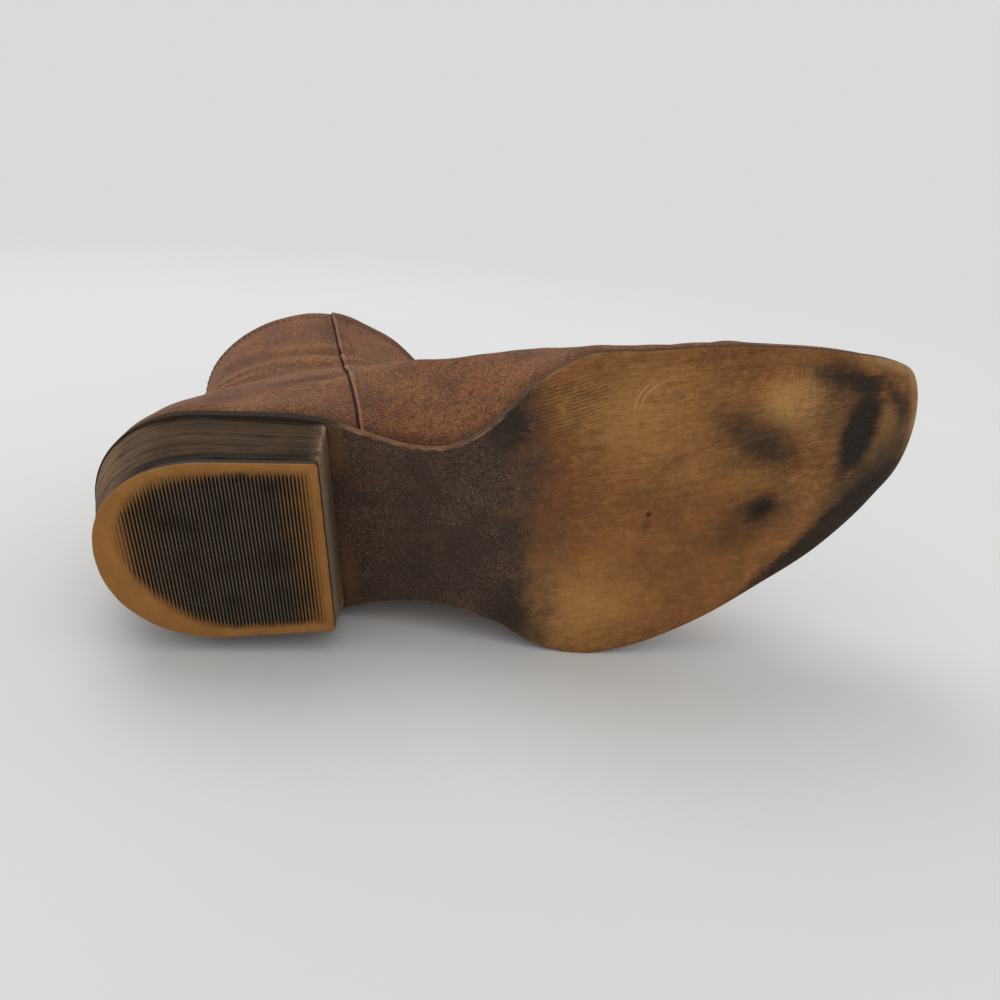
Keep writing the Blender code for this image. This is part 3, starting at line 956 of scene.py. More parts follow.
SOILED_PATCHES = (
    ((254.2, -31.0), (6.8, 16.4), 10.0, 0.38, 0.50, 0.98),
    ((244.0, -50.6), (8.0, 3.7), 14.0, 0.9, 1.7, 0.92),
    ((254.0, -47.2), (6.4, 3.6), 12.0, 0.8, 1.3, 0.88),
    ((266.8, -41.0), (7.0, 2.6), 42.0, 0.9, 1.6, 0.82),
    ((271.0, -33.0), (2.2, 7.0), 6.0, 0.9, 1.4, 0.50),
    ((260.0, -14.5), (15.0, 4.4), -41.0, 0.9, 1.5, 0.58),
    ((217.5, -32.0), (14.0, 6.2), 28.0, 0.9, 1.3, 0.58),
    ((221.0, -28.6), (7.2, 3.2), 22.0, 0.9, 1.6, 0.72),
    ((210.5, -36.5), (6.0, 4.0), 28.0, 0.9, 1.6, 0.42),
    ((211.5, -23.5), (8.0, 5.0), 20.0, 0.9, 1.4, 0.20),
    ((221.0, -5.5), (11.0, 8.0), -10.0, 0.9, 1.2, 0.52),
    ((222.3, -7.0), (5.8, 4.3), -14.0, 0.75, 0.9, 0.94),
    ((211.0, 4.5), (8.0, 4.5), -10.0, 0.9, 1.8, 0.26),
    ((184.0, -7.0), (0.9, 0.9), 0.0, 0.7, 1.2, 0.80),
    ((183.2, -2.8), (1.2, 2.0), 10.0, 0.9, 1.4, 0.50),
)
WAIST_PATCHES = (
    ((139.0, -38.0), (8.0, 9.5), 12.0, 0.5, 1.0, 1.0),
    ((137.5, 34.0), (7.0, 12.0), 0.0, 0.6, 1.2, 1.0),
    ((150.0, -4.0), (7.0, 14.0), 0.0, 0.8, 1.6, 0.35),
)
DARKEST_PATCHES = (
    ((139.5, -38.0), (8.0, 9.5), 12.0, 0.8, 1.2, 0.80),
    ((137.0, 32.0), (7.0, 10.0), 0.0, 0.9, 1.2, 0.66),
    ((112.0, 14.0), (16.0, 12.0), 0.0, 0.9, 1.2, 0.36),
)
CORNER_PATCHES = (
    ((82.6, -26.0), (2.6, 8.0), 0.0, 0.9, 0.8, 0.60),
    ((82.8, 22.0), (2.8, 11.0), 0.0, 0.9, 0.8, 0.55),
)
# Scored lines: patch as above, turn of the lines, fineness along and across them, shade
SCORES = (
    ((219.0, -30.5), (14.0, 8.0), 28.0, 0.8, 0.8, 0.60, 13.0, 0.12, 1.7, SCORED),
    ((236.0, -31.0), (12.0, 9.0), 0.0, 0.8, 1.0, 0.42, 11.0, 0.14, 2.2, SCORED),
    ((246.0, -44.0), (13.0, 10.0), 10.0, 0.8, 1.0, 0.62, 8.0, 0.10, 2.0, SCORED),
    ((260.0, -14.0), (17.0, 7.0), -41.0, 0.8, 1.0, 0.55, 40.0, 0.12, 1.6, SCORED),
    ((231.0, -45.0), (8.0, 12.0), 0.0, 0.7, 0.8, 0.13, 92.0, 0.07, 1.9, PALE),
    ((196.0, -38.0), (26.0, 16.0), 0.0, 0.9, 1.0, 0.14, 24.0, 0.10, 2.6, PALE),
    ((146.0, 30.0), (10.0, 12.0), 0.0, 0.8, 1.0, 0.34, 3.0, 0.07, 1.6, SCORED),
)
# Where the tread is worn smooth
SMOOTH_PATCH = ((188.0, 12.0), (40.0, 27.0), 0.0, 0.8, 0.6)
# Parallel dark lines at the rear of the inner ball
RAKED_PATCH = ((156.0, -45.0), (13.5, 8.5), -20.0, 0.6, 0.8)
# Bowed scratches near the inner ball: centre, radius, and centre and half sizes of the patch they show in
BOWED_SCRATCHES = (
    ((188.0, -42.5), 9.4, (180.5, -48.5), (4.2, 5.5)),
    ((188.0, -42.5), 11.2, (178.5, -48.0), (4.0, 6.0)),
)


class SoleFinish(Finish):
    """Worn sole leather, whose stretches share their streaks, speckle and clouds."""

    def __init__(self, name, settings):
        super().__init__(name)
        self.settings = settings
        self.place = place = self.boot()
        self.x, self.y, _ = self.axes(place)
        self.edge, self.sides = self.value("edge"), self.value("side")
        streaks, specks = self.effect("Brushed streaks", place), self.effect("Fine speckle", place)
        self.lines, self.scratches = streaks["Lines"], streaks["Scratches"]
        self.grainy, self.dots = self.step(specks["Grainy"], 0.36, 0.64), specks["Dots"]
        self.cloud = self.noise(place, 0.05, 4.0, 0.6)
        self.mist = self.noise(place, 0.14, 4.0, 0.65, offset=(40.0, 90.0, 0.0))
        # Frays the edges of patches: brushed along the boot, and blotchy
        streaked = self.noise(self.stretch(place, (0.13, 1.15, 0.3)), 1.0, 5.0, 0.7)
        blotchy = self.noise(place, 0.22, 4.0, 0.6)
        self.rag = self.math("SUBTRACT", self.math("ADD", streaked, blotchy), 1.0)
        self.busy = self.math("MULTIPLY_ADD", self.patch(*SMOOTH_PATCH), -0.58, 1.0)
        self.soil = self.mix(self.grainy, *shades(settings.soiled, 0.55, 1.7))
        self.outwards = self.math("MULTIPLY_ADD", self.x, 0.62, self.y)
        self.inner = self.step(self.outwards, 152.0, 140.0)
        self.along_waist = self.times(
            self.step(self.x, 172.0, 156.0), self.step(self.x, 82.0, 88.0), self.inner
        )

    def patch(self, centre, half, turn=0.0, softness=0.5, ragged=0.5):
        """Mask of a soft oval at a place on the sole, in millimetres."""
        inputs = {
            "Place": self.place, "Rag": self.rag, "Centre": (*centre, 0.0), "Half size": (*half, ENDLESS),
            "Turn": (0.0, 0.0, math.radians(turn)), "Softness": softness, "Ragged": ragged,
        }
        return self.group("Soft patch", inputs)["Mask"]

    def spread(self, colour, patches, other):
        """Another colour laid over the first in each patch of a table."""
        return self.over(colour, *((self.patch(*shape), strength, other) for *shape, strength in patches))

    def forepart(self):
        """Bare brown leather, brushed along, and calmer where it is worn smooth."""
        golden = self.settings.golden
        low, high, deep = shades(self.settings.worn, 0.74, 1.14, 0.45)
        colour = self.over(
            self.mix(self.step(self.cloud, 0.34, 0.66), low, high),
            (self.step(self.mist, 0.50, 0.72), 0.45, REDDISH),
            (self.step(self.mist, 0.46, 0.28), 0.40, golden),
        )
        colour = self.spread(colour, REDDISH_PATCHES, REDDISH)
        colour = self.spread(colour, GOLDEN_PATCHES, golden)
        mottle = self.noise(self.place, 0.42, 5.0, 0.68, offset=(15.0, 33.0, 0.0))
        return self.over(
            colour,
            (self.times(self.step(mottle, 0.50, 0.68), self.busy), 0.34, deep),
            (self.times(self.step(mottle, 0.50, 0.34), self.busy), 0.26, golden),
            (self.times(self.step(self.lines, 0.45, 1.0), self.busy), 0.36, deep),
            (self.times(self.step(self.lines, 0.30, 0.0), self.busy), 0.22, golden),
            (self.times(self.scratches, self.busy), 0.32, PALE),
            (self.dots, 0.25, PALE),
            (self.times(self.grainy, self.busy), 0.20, deep),
        )

    def waist(self):
        """Where the dyed finish is left: in the waist, worn off towards the ball."""
        along = self.shift(self.x, (self.lines, 5.0), (self.cloud, 22.0), (self.mist, 14.0))
        mask = self.step(along, 155.0, 137.5)
        for *shape, strength in WAIST_PATCHES:
            mask = self.math("MAXIMUM", mask, self.times(self.patch(*shape), strength))
        return mask

    def dyed(self):
        """Dark finish of the waist, gritty and dusty."""
        grit = self.effect("Fine speckle", self.place, 0.5)["Grainy"]
        colour = self.over(
            self.mix(self.grainy, *shades(self.settings.dyed, 0.38, 1.68)),
            (self.step(grit, 0.52, 0.66), 0.50, GREY_DUST),
            (self.step(grit, 0.48, 0.34), 0.55, DARK_PITS),
            (self.step(self.mist, 0.42, 0.70), 0.45, BROWN_DUST),
            (self.step(self.cloud, 0.52, 0.36), 0.45, DARK_CLOUDS),
            (self.dots, 0.65, PALE_GRIT),
        )
        colour = self.spread(colour, DARKEST_PATCHES, DARKEST)
        return self.spread(colour, CORNER_PATCHES, TAN_CORNERS)

    def marked(self, colour):
        """The tread with its soiled patches, scored and raked lines and bowed scratches."""
        colour = self.spread(colour, OLIVE_PATCHES, OLIVE)
        colour = self.spread(colour, SOILED_PATCHES, self.soil)
        for *shape, strength, turn, along, across, shade in SCORES:
            drawn = self.stretch(self.turned(self.place, turn), (along, across, across))
            scored = self.step(self.noise(drawn, 1.0, 3.0, 0.6), 0.44, 0.60)
            colour = self.over(colour, (self.times(self.patch(*shape), scored), strength, shade))
        wave = {
            "Vector": self.turned(self.place, 19.0), "Scale": 0.27,
            "Distortion": 2.4, "Detail": 4.0, "Detail Scale": 1.6,
        }
        raked = self.node("ShaderNodeTexWave", wave, bands_direction="Y").outputs["Fac"]
        raked = self.times(self.step(raked, 0.40, 0.90), self.step(self.mist, 0.30, 0.56))
        colour = self.over(colour, (self.times(raked, self.patch(*RAKED_PATCH)), 0.68, RAKED))
        flat = self.vector("MULTIPLY", self.place, (1.0, 1.0, 0.0))
        for centre, radius, *shape in BOWED_SCRATCHES:
            reach = self.length(self.vector("SUBTRACT", flat, (*centre, 0.0)))
            near = self.step(self.math("ABSOLUTE", self.math("SUBTRACT", reach, radius)), 0.42, 0.10)
            colour = self.over(colour, (self.times(near, self.patch(*shape)), 0.62, PALE))
        return colour

    def grime(self):
        """Where the lateral edge of the toe is soiled."""
        x = self.x
        broad, narrow = self.step(x, 208.0, 248.0, 2.6, 13.5), self.step(x, 254.0, 274.0, 0.0, 3.0)
        reach = self.math("SUBTRACT", broad, narrow)
        frayed = self.shift(self.edge, (self.lines, 3.0), (self.mist, 6.0))
        near_edge = self.step(self.math("SUBTRACT", frayed, reach), 0.0, -4.5)
        strength = self.times(self.step(x, 184.0, 236.0), self.step(x, 288.0, 266.0))
        return self.times(self.step(self.outwards, 140.0, 152.0), near_edge, strength)

    def rubbed(self, colour):
        """Paler along the rounded edge: broad at the toe, and a thin line along the inner waist that is
        rubbed and carries a painted highlight.
        """
        toe = self.times(self.step(self.edge, 4.6, 0.8), self.step(self.x, 240.0, 266.0), self.inner)
        line = self.times(self.along_waist, self.step(self.mist, 0.36, 0.62))
        return self.over(
            colour,
            (self.times(toe, self.step(self.mist, 0.28, 0.55)), 0.84, RUBBED_TOE),
            # The thin line along the inner waist is rubbed leather with a painted highlight on the rounded
            # edge
            (self.times(line, self.step(self.edge, 0.65, 0.25)), 0.70, WAIST_RUB_AND_HIGHLIGHT),
        )

    def cut_edge(self):
        """Dark dye of the cut edge, darkest round the heel seat, and rubbed along the inner waist."""
        forward = self.step(self.shift(self.x, (self.mist, 20.0)), 112.0, 128.0)
        worn = self.mix(forward, WORN_EDGE_BACK, WORN_EDGE_FRONT)
        return self.over(
            self.mix(self.step(self.x, 92.0, 78.0), CUT_EDGE, CUT_EDGE_SEAT),
            (self.times(self.along_waist, self.step(self.mist, 0.24, 0.52)), 0.9, worn),
            (self.lines, 0.6, CUT_EDGE_LINES),
        )


def outsole_material(settings):
    """Worn sole leather: dyed waist, brown forepart brushed along, soiled and golden patches."""
    sole = SoleFinish("worn_sole_leather", settings)
    waist, cut = sole.waist(), sole.cut_edge()
    colour = sole.over(sole.forepart(), (waist, 0.97, sole.dyed()))
    colour = sole.over(sole.marked(colour), (sole.grime(), 0.93, sole.soil))
    seat = sole.step(sole.x, 80.8, 79.4)
    colour = sole.over(sole.rubbed(colour), (seat, 0.9, cut), (sole.sides, 0.94, cut))
    rough = sole.math("MULTIPLY_ADD", waist, 0.14, sole.step(sole.lines, 0.0, 1.0, 0.54, 0.70))
    sole.surface(colour, sole.math("MAXIMUM", rough, sole.times(sole.sides, 0.9)), 0.14)
    grit = sole.step(waist, 0.0, 1.0, 0.3, 1.0)
    height = sole.math("MULTIPLY_ADD", sole.grainy, grit, sole.times(sole.lines, sole.busy))
    sole.relief(height, 0.40, 0.16)
    return sole.material


def breast_colour(graph, place):
    """Plain leather of the heel's breast: dusty near the lift, with painted shade above it, and tan ends."""
    _, y, z = graph.axes(place)
    grainy = graph.step(graph.effect("Fine speckle", place, 0.9)["Grainy"], 0.35, 0.65)
    high = graph.step(z, 7.0, 19.0)
    ends = graph.times(high, graph.step(graph.math("ABSOLUTE", y), 12.0, 28.0))
    # The darkening from seven millimetres up, towards the sole, is painted shade
    return graph.over(graph.mix(grainy, *BREAST_GRAIN), (high, 0.72, BREAST_PAINTED_SHADE), (ends, 0.60, BREAST_ENDS))


def stack_material(settings):
    """Stacked leather: dark layers with rubbed lips, a black foot, a rubbed back with painted light, and
    pale corners, worn and with a painted highlight.
    """
    graph = Finish("stacked_heel_leather")
    place = graph.boot()
    x, y, z = graph.axes(place)
    layer, breast, corner, groove = map(graph.value, ("layer", "breast", "corner", "groove"))
    number = graph.math("FLOOR", layer)
    tone = graph.node("ShaderNodeTexWhiteNoise", {"W": number}, noise_dimensions="1D").outputs["Value"]
    level = graph.joined(x, y, graph.times(layer, 3.0))
    fibres = graph.noise(graph.stretch(level, (0.10, 0.10, 2.6)), 1.0, 5.0, 0.72)
    blotch = graph.noise(place, 0.08, 4.0, 0.62)
    within = graph.math("ABSOLUTE", graph.math("SUBTRACT", graph.math("FRACT", layer), 0.5))
    worn = graph.step(graph.noise(place, 0.35, 4.0, 0.65), 0.30, 0.58)
    black, dark, middle, light = shades(settings.stack, 0.22, 0.50, 1.0, 3.0)
    colour = graph.over(
        graph.mix(tone, dark, middle),
        (graph.step(fibres, 0.50, 0.68), 0.60, light),
        (graph.step(fibres, 0.46, 0.30), 0.60, black),
        (graph.times(graph.step(within, 0.34, 0.45), graph.step(fibres, 0.38, 0.56)), 0.62, light),
        # Lighter at the back: rubbed layers, and painted light where light glances on the back of the heel
        (graph.times(graph.step(x, 34.0, 2.0), graph.step(fibres, 0.28, 0.56)), 0.85, BACK_RUB_AND_PAINTED_LIGHT),
        (graph.step(blotch, 0.44, 0.68), 0.55, dark),
        (groove, 0.85, black),
        (graph.times(graph.step(z, 8.6, 6.4), graph.step(x, 14.0, 30.0)), 0.85, black),
        (breast, 0.92, breast_colour(graph, place)),
        # Pale breast corners: wear, and a painted highlight where the edge catches the light
        (graph.times(corner, worn), 0.80, CORNER_WEAR_AND_HIGHLIGHT),
    )
    graph.surface(colour, graph.step(fibres, 0.3, 0.7, 0.50, 0.68), 0.09)
    grain = graph.effect("Leather grain", place, 0.8)["Height"]
    graph.relief(graph.math("MULTIPLY_ADD", grain, 0.25, fibres), 0.45, 0.16)
    return graph.material


def lift_material(settings):
    """Tan rubber, its ribs blackened in the middle and worn clean at the border."""
    graph = Finish("lift_rubber")
    place = graph.boot()
    x, _, z = graph.axes(place)
    field, side = graph.value("field"), graph.value("side")
    grainy = graph.step(graph.effect("Fine speckle", place, 1.3)["Grainy"], 0.36, 0.64)
    cloud = graph.noise(place, 0.10, 4.0, 0.6)
    smear = graph.noise(graph.stretch(place, (0.30, 0.045, 0.3)), 1.0, 4.0, 0.62)
    blot = graph.noise(place, 0.07, 4.0, 0.62, offset=(12.0, 7.0, 0.0))
    frayed = graph.shift(field, (cloud, 6.0), (smear, 3.5))
    front = graph.step(graph.shift(x, (cloud, 12.0), (smear, 8.0)), 76.0, 64.0)
    dirty = graph.times(
        graph.step(frayed, 0.3, graph.step(x, 24.0, 52.0, 9.5, 4.6)),
        graph.math("MULTIPLY_ADD", front, 0.84, 0.16),
        graph.step(x, 16.0, 34.0, 0.66, 1.0),
    )
    dust = graph.over(graph.mix(grainy, *LIFT_DUST), (graph.step(blot, 0.46, 0.66), 0.7, LIFT_BLOTS))
    # Dirt sits in the grooves, and reaches further out than on the ribs
    in_groove = graph.times(graph.step(z, 0.05, 0.20), graph.step(z, 0.9, 0.6))
    reach = graph.step(x, 22.0, 48.0, 6.4, 3.4)
    packed = graph.times(in_groove, graph.step(graph.shift(field, (smear, 1.6)), 0.5, reach))
    # Sides of the lift carry the heel's dark dye down to a ragged line
    dyed = graph.step(graph.shift(side, (graph.noise(place, 0.9, 3.0, 0.6), 1.0)), 0.75, 1.15)
    colour = graph.over(
        graph.mix(graph.step(cloud, 0.3, 0.7), *shades(settings.rubber, 0.80, 1.0)),
        (grainy, 0.22, RUBBER_GRAIN),
        (dirty, 0.92, dust),
        (packed, graph.step(dirty, 0.0, 0.40, 0.50, 0.97), settings.grime),
        (dyed, 0.96, graph.mix(grainy, *LIFT_DYE)),
    )
    graph.surface(colour, graph.step(dirty, 0.0, 1.0, 0.56, 0.78), 0.10)
    graph.relief(graph.math("ADD", grainy, cloud), 0.25, 0.1)
    return graph.material


def upper_material(settings):
    """Distressed reddish-brown leather: mottled, pored, rubbed tan on its ridges, with a painted shadow
    behind the seam's lap.
    """
    graph = Finish("upper_leather")
    place = graph.boot()
    x, _, z = graph.axes(place)
    rise, seam, rub = map(graph.value, ("rise", "seam", "rub"))
    grain = graph.effect("Leather grain", place, 1.9)
    grainy = graph.step(graph.effect("Fine speckle", place, 0.8)["Grainy"], 0.36, 0.64)
    cloud = graph.noise(place, 0.035, 5.0, 0.62)
    mottle = graph.noise(place, 0.95, 4.0, 0.70, offset=(70.0, 20.0, 9.0))
    flecks = graph.noise(place, 0.42, 5.0, 0.74, offset=(9.0, 44.0, 27.0))
    patchy = graph.step(graph.noise(place, 0.055, 4.0, 0.6, offset=(5.0, 60.0, 30.0)), 0.34, 0.66)
    counter = graph.times(graph.step(x, 40.0, 4.0), graph.step(z, 92.0, 60.0))
    behind_lap = graph.math("ABSOLUTE", graph.math("ADD", seam, 0.35))
    lip = graph.times(graph.step(seam, 0.1, 0.5), graph.step(seam, 1.7, 0.9))
    colour = graph.over(
        graph.mix(graph.step(cloud, 0.34, 0.66), *shades(settings.leather, 0.60, 1.25)),
        (graph.step(mottle, 0.44, 0.74), graph.step(patchy, 0.0, 1.0, 0.28, 0.85), settings.rubbed),
        (graph.step(mottle, 0.54, 0.30), graph.step(patchy, 0.0, 1.0, 0.85, 0.55), DARK_MOTTLE),
        (graph.step(flecks, 0.48, 0.32), 0.72, DARK_FLECKS),
        (graph.step(flecks, 0.54, 0.72), 0.50, settings.rubbed),
        (graph.times(rub, graph.step(mottle, 0.36, 0.62)), 0.7, settings.rubbed),
        (grain["Pores"], 0.42, PORES),
        (grainy, 0.28, DUSTY_GRAIN),
        (counter, 0.40, COUNTER),
        (graph.step(rise, 6.0, 0.5), 0.6, FOOT_DIRT),
        # The near-black strip just behind the seam is a painted shadow of the lap's step
        (graph.step(behind_lap, 0.75, 0.25), 0.9, SEAM_PAINTED_SHADOW),
        (lip, 0.35, settings.rubbed),
    )
    graph.surface(colour, graph.step(mottle, 0.3, 0.7, 0.55, 0.74), 0.12)
    graph.relief(graph.math("MULTIPLY_ADD", mottle, 0.7, grain["Height"]), 0.55, 0.25)
    return graph.material


def lining_material(settings, name, shade):
    """Soft tan lining leather, darkened in blotches by use."""
    graph = Finish(name)
    place = graph.boot()
    use = graph.noise(place, 0.03, 4.0, 0.6)
    clean, = shades(settings.lining_colour, shade)
    used, dark = shades(clean, 0.62, 0.5)
    grainy = graph.effect("Fine speckle", place)["Grainy"]
    colour = graph.over(graph.mix(graph.step(use, 0.35, 0.7), clean, used), (grainy, 0.3, dark))
    graph.surface(colour, graph.step(use, 0.3, 0.7, 0.72, 0.86))
    graph.relief(graph.effect("Leather grain", place, 1.4)["Height"], 0.35, 0.15)
    return graph.material


def thread_material(settings):
    """Waxed thread, faded here and there, with its twist in the relief."""
    graph = Finish("stitching_thread")
    place = graph.boot()
    fade = graph.noise(place, 0.2, 3.0, 0.6)
    colour = graph.mix(graph.step(fade, 0.35, 0.65), *shades(settings.thread, 0.55, 1.0))
    graph.surface(colour, graph.step(fade, 0.3, 0.7, 0.6, 0.8))
    graph.relief(graph.noise(place, 4.0, 2.0, 0.5), 0.3, 0.06)
    return graph.material


def arc_side(inward, upward, top):
    """Rings of the outsole's side from the tread up: inset from the edge and rise from the tread."""
    turn = np.linspace(0, math.pi / 2, 8)
    low = [(inward * (1 - math.sin(t)), upward * (1 - math.cos(t))) for t in turn]
    straight = [(0.0, upward + share * (SOLE_THICKNESS - upward - top)) for share in (0.5, 1.0)]
    turn = np.linspace(0, math.pi / 2, 4)[1:]
    high = [(top * (1 - math.cos(t)), SOLE_THICKNESS - top + top * math.sin(t)) for t in turn]
    return low + straight + high


class BOOT_OT_outsole(bpy.types.Operator):
    """Worn full-length sole with a rounded tread edge"""

    bl_idname = "boot.outsole"
    bl_label = "Outsole"

    stations: bpy.props.IntProperty(name="Stations", description="Steps along the sole", default=176)
    columns: bpy.props.IntProperty(name="Columns", description="Steps across the sole", default=44)

    def execute(self, context):
        settings = context.scene.boot_sole
        outline = sole_outline(self.stations)
        dome = settings.dome / MM

        def worn(flat, distance):
            """Rise of the tread by wear, in front of the heel: up at the edges and uneven all over."""
            waves = uneven(flat, TREAD_WAVES) * soft_step(distance, *UNEVEN_START)
            rise = dome * np.exp(-((distance / DOME_REACH) ** 2)) + waves
            return rise * soft_step(flat[:, 0] - BREAST, *DOME_START)

        def tread(flat):
            return tread_height(flat[:, 0]) + worn(flat, edge_distance(flat, outline))

        shell = Shell()
        rings, sides = [], []
        along = outline[:, 0]
        steps = (share * soft_step(along, *span) for share, *span in EDGE_TRIM_STEPS)
        trim = sum(steps, EDGE_TRIM)
        for distance, rise in arc_side(settings.edge_round / MM, EDGE_RISE, TOP_ROUND):
            loop = inset(outline, distance * trim)
            share = max(0.0, 1 - rise / SOLE_THICKNESS)
            lift = share * worn(loop, np.full(len(loop), distance))
            sunk = min(rise, EDGE_RISE) * (1 - trim) * (share > 0.5)
            height = tread_height(loop[:, 0]) + rise - sunk + lift
            rings.append(shell.ring(np.column_stack([loop, height])))
            sides.append(np.full(len(loop), soft_step(rise, 0.6 * EDGE_RISE, EDGE_RISE)))
        shell.sides(rings)
        shell.ladder(rings[0], self.columns, tread)
        sides.append(np.zeros(len(shell.points) - sum(map(len, sides))))
        shell.ladder(rings[-1], HIDDEN_COLUMNS, lambda flat: sole_top(flat[:, 0]))
        sides.append(np.ones(len(shell.points) - sum(map(len, sides))))
        points = shell.array()
        mesh = plain_mesh("outsole_skin", points, shell.faces)
        edge = edge_distance(points[:, :2], outline)
        obj = lay("outsole_skin", mesh, outsole_material(settings), edge=edge, side=np.concatenate(sides))
        fit(obj, "sole_leather", "outsole")
        return {"FINISHED"}


def layer_rows(count):
    """Rings of the stack: share of its height, groove, and how far the leather stands proud."""
    rows = [(0.0, 0.0, 0.0)]
    for layer in range(count):
        low, high = layer / count, (layer + 1) / count
        step = high - low
        proud = LAYER_PROUD * math.sin(2.4 * layer + 0.7)
        rows += [
            (low + LAYER_LIP * step, 0.0, proud),
            (low + 0.5 * step, 0.0, proud + LAYER_SWELL),
            (high - LAYER_LIP * step, 0.0, proud),
            (high, 1.0, 0.0),
        ]
    return [*rows[:-1], (1.0, 0.0, 0.0)]


class BOOT_OT_heel_stack(bpy.types.Operator):
    """Heel of stacked leather layers with a plain breast"""

    bl_idname = "boot.heel_stack"
    bl_label = "Heel stack"

    def execute(self, context):
        settings = context.scene.boot_heel
        foot, seat = lift_loop(), seat_loop()
        order = np.minimum(np.arange(len(foot)), len(foot) - 1 - np.arange(len(foot)))
        past = order - float(HEEL_STATIONS)
        breast = soft_step(past, *BREAST_TURN)
        corner = np.exp(-(((past - CORNER_RUB) / CORNER_RUB_WIDTH) ** 2))
        base = LIFT_THICKNESS + TOUCH
        shell = Shell()
        rings, layers, grooves = [], [], []
        for share, groove, proud in layer_rows(settings.layers):
            depth = (groove * settings.groove / MM - proud) * (1 - BREAST_FLATNESS * breast)
            loop = foot + (seat - foot) * share
            waves = uneven(np.column_stack([loop, np.full(len(loop), 40 * share)]), STACK_WAVES)
            loop = inset(loop, depth + waves * (0 < share < 1))
            top = tread_height(loop[:, 0]) - TOUCH
            rings.append(shell.ring(np.column_stack([loop, base + (top - base) * share])))
            layers.append(np.full(len(loop), share * settings.layers))
            grooves.append(groove * (1 - breast))
        shell.sides(rings)
        shell.cap(rings[0])
        shell.cap(rings[-1])
        mesh = plain_mesh("heel_stack_skin", shell.array(), shell.faces)
        obj = lay(
            "heel_stack_skin", mesh, stack_material(settings),
            layer=np.concatenate(layers), groove=np.concatenate(grooves),
            breast=np.tile(breast, len(rings)), corner=np.tile(corner, len(rings)),
        )
        fit(obj, "heel_leather", "heel_stack")
        return {"FINISHED"}


def field_sides(x):
    """Where the ribbed field ends at x, on the lateral and on the medial side."""
    stations = column(FIELD_ROWS, FIELD_COLUMNS, "station")
    return [np.interp(x, stations, column(FIELD_ROWS, FIELD_COLUMNS, name)) for name in FIELD_COLUMNS[1:]]


def field_depth(flat):
    """How far inside the ribbed field a point of the lift is, in millimetres; negative outside."""
    lateral, medial = field_sides(flat[:, 0])
    across = np.minimum(lateral - flat[:, 1], flat[:, 1] - medial)
    along = np.minimum(flat[:, 0] - FIELD_ROWS[0][0], FIELD_ROWS[-1][0] + FIELD_MARGIN - flat[:, 0])
    return np.minimum(across, along)


class GeometryGraph(Graph):
    """A new geometry tree that takes wires, named sizes and a material."""

    def __init__(self, name, **sizes):
        super().__init__(bpy.data.node_groups.new(name, "GeometryNodeTree"))
        sockets = {"Geometry": "NodeSocketGeometry", **sizes, "Material": "NodeSocketMaterial"}
        for label, kind in sockets.items():
            self.tree.interface.new_socket(label.replace("_", " "), in_out="INPUT", socket_type=kind)
        self.tree.interface.new_socket("Geometry", in_out="OUTPUT", socket_type="NodeSocketGeometry")
        self.entry = self.node("NodeGroupInput").outputs

    def make(self, kind, inputs=None, **settings):
        """The first output of a new node."""
        return self.node(kind, inputs, **settings).outputs[0]

    def finish(self, geometry):
        """Closes the tree: its instances are made real and take the material."""
        real = self.make("GeometryNodeRealizeInstances", {"Geometry": geometry})
        inputs = {"Geometry": real, "Material": self.entry["Material"]}
        dressed = self.make("GeometryNodeSetMaterial", inputs)
        self.tree.links.new(dressed, self.node("NodeGroupOutput").inputs[0])
        return self.tree


def ribs_tree():
    """Node tree that turns one wire for each rib into a rounded bar whose ends dip into the rubber."""
    graph = GeometryGraph("Lift ribs", Half_width=FLOAT, Depth=FLOAT, Taper=FLOAT)
    entry = graph.entry
    wires = graph.make("GeometryNodeMeshToCurve", {"Mesh": entry["Geometry"]})
    wires = graph.make("GeometryNodeResampleCurve", {"Curve": wires, "Count": RIB_STEPS})
    upright = graph.make("GeometryNodeSetCurveNormal", {"Curve": wires}, mode="Z_UP")
    along = graph.node("GeometryNodeSplineParameter").outputs["Length"]
    whole = graph.node("GeometryNodeSplineLength").outputs["Length"]
    end = graph.math("MINIMUM", along, graph.math("SUBTRACT", whole, along))
    drop = graph.times(graph.step(end, 0.0, entry["Taper"], 1.0, 0.0), entry["Depth"])
    dipped = {"Geometry": upright, "Offset": graph.joined(0.0, 0.0, drop)}
    bars = graph.make("GeometryNodeSetPosition", dipped)
    circle = graph.make("GeometryNodeCurvePrimitiveCircle", {"Resolution": RIB_SIDES, "Radius": 1.0})
    size = graph.joined(entry["Half width"], entry["Depth"], 1.0)
    section = graph.make("GeometryNodeTransform", {"Geometry": circle, "Scale": size})
    swept = {"Curve": bars, "Profile Curve": section, "Fill Caps": True}
    return graph.finish(graph.make("GeometryNodeCurveToMesh", swept))


def stitch_tree():
    """Node tree that sets stitches end to end along wires."""
    graph = GeometryGraph("Stitches", Pitch=FLOAT, Half_length=FLOAT, Half_width=FLOAT, Seed="NodeSocketInt")
    entry = graph.entry
    wires = graph.make("GeometryNodeMeshToCurve", {"Mesh": entry["Geometry"]})
    spacing = {"Curve": wires, "Length": entry["Pitch"]}
    spots = graph.node("GeometryNodeCurveToPoints", spacing, mode="LENGTH").outputs
    turned = graph.make("FunctionNodeAlignRotationToVector", {"Vector": spots["Tangent"]}, axis="Z")
    ball = graph.make("GeometryNodeMeshUVSphere", {"Segments": 8, "Rings": 6, "Radius": 1.0})
    size = graph.joined(entry["Half width"], entry["Half width"], entry["Half length"])
    stitch = graph.make("GeometryNodeTransform", {"Geometry": ball, "Scale": size})
    chance = {2: STITCH_SPREAD[0], 3: STITCH_SPREAD[1], "Seed": entry["Seed"]}
    scale = graph.node("FunctionNodeRandomValue", chance, data_type="FLOAT").outputs[1]
    placed = {"Points": spots["Points"], "Instance": stitch, "Rotation": turned, "Scale": scale}
    return graph.finish(graph.make("GeometryNodeInstanceOnPoints", placed))


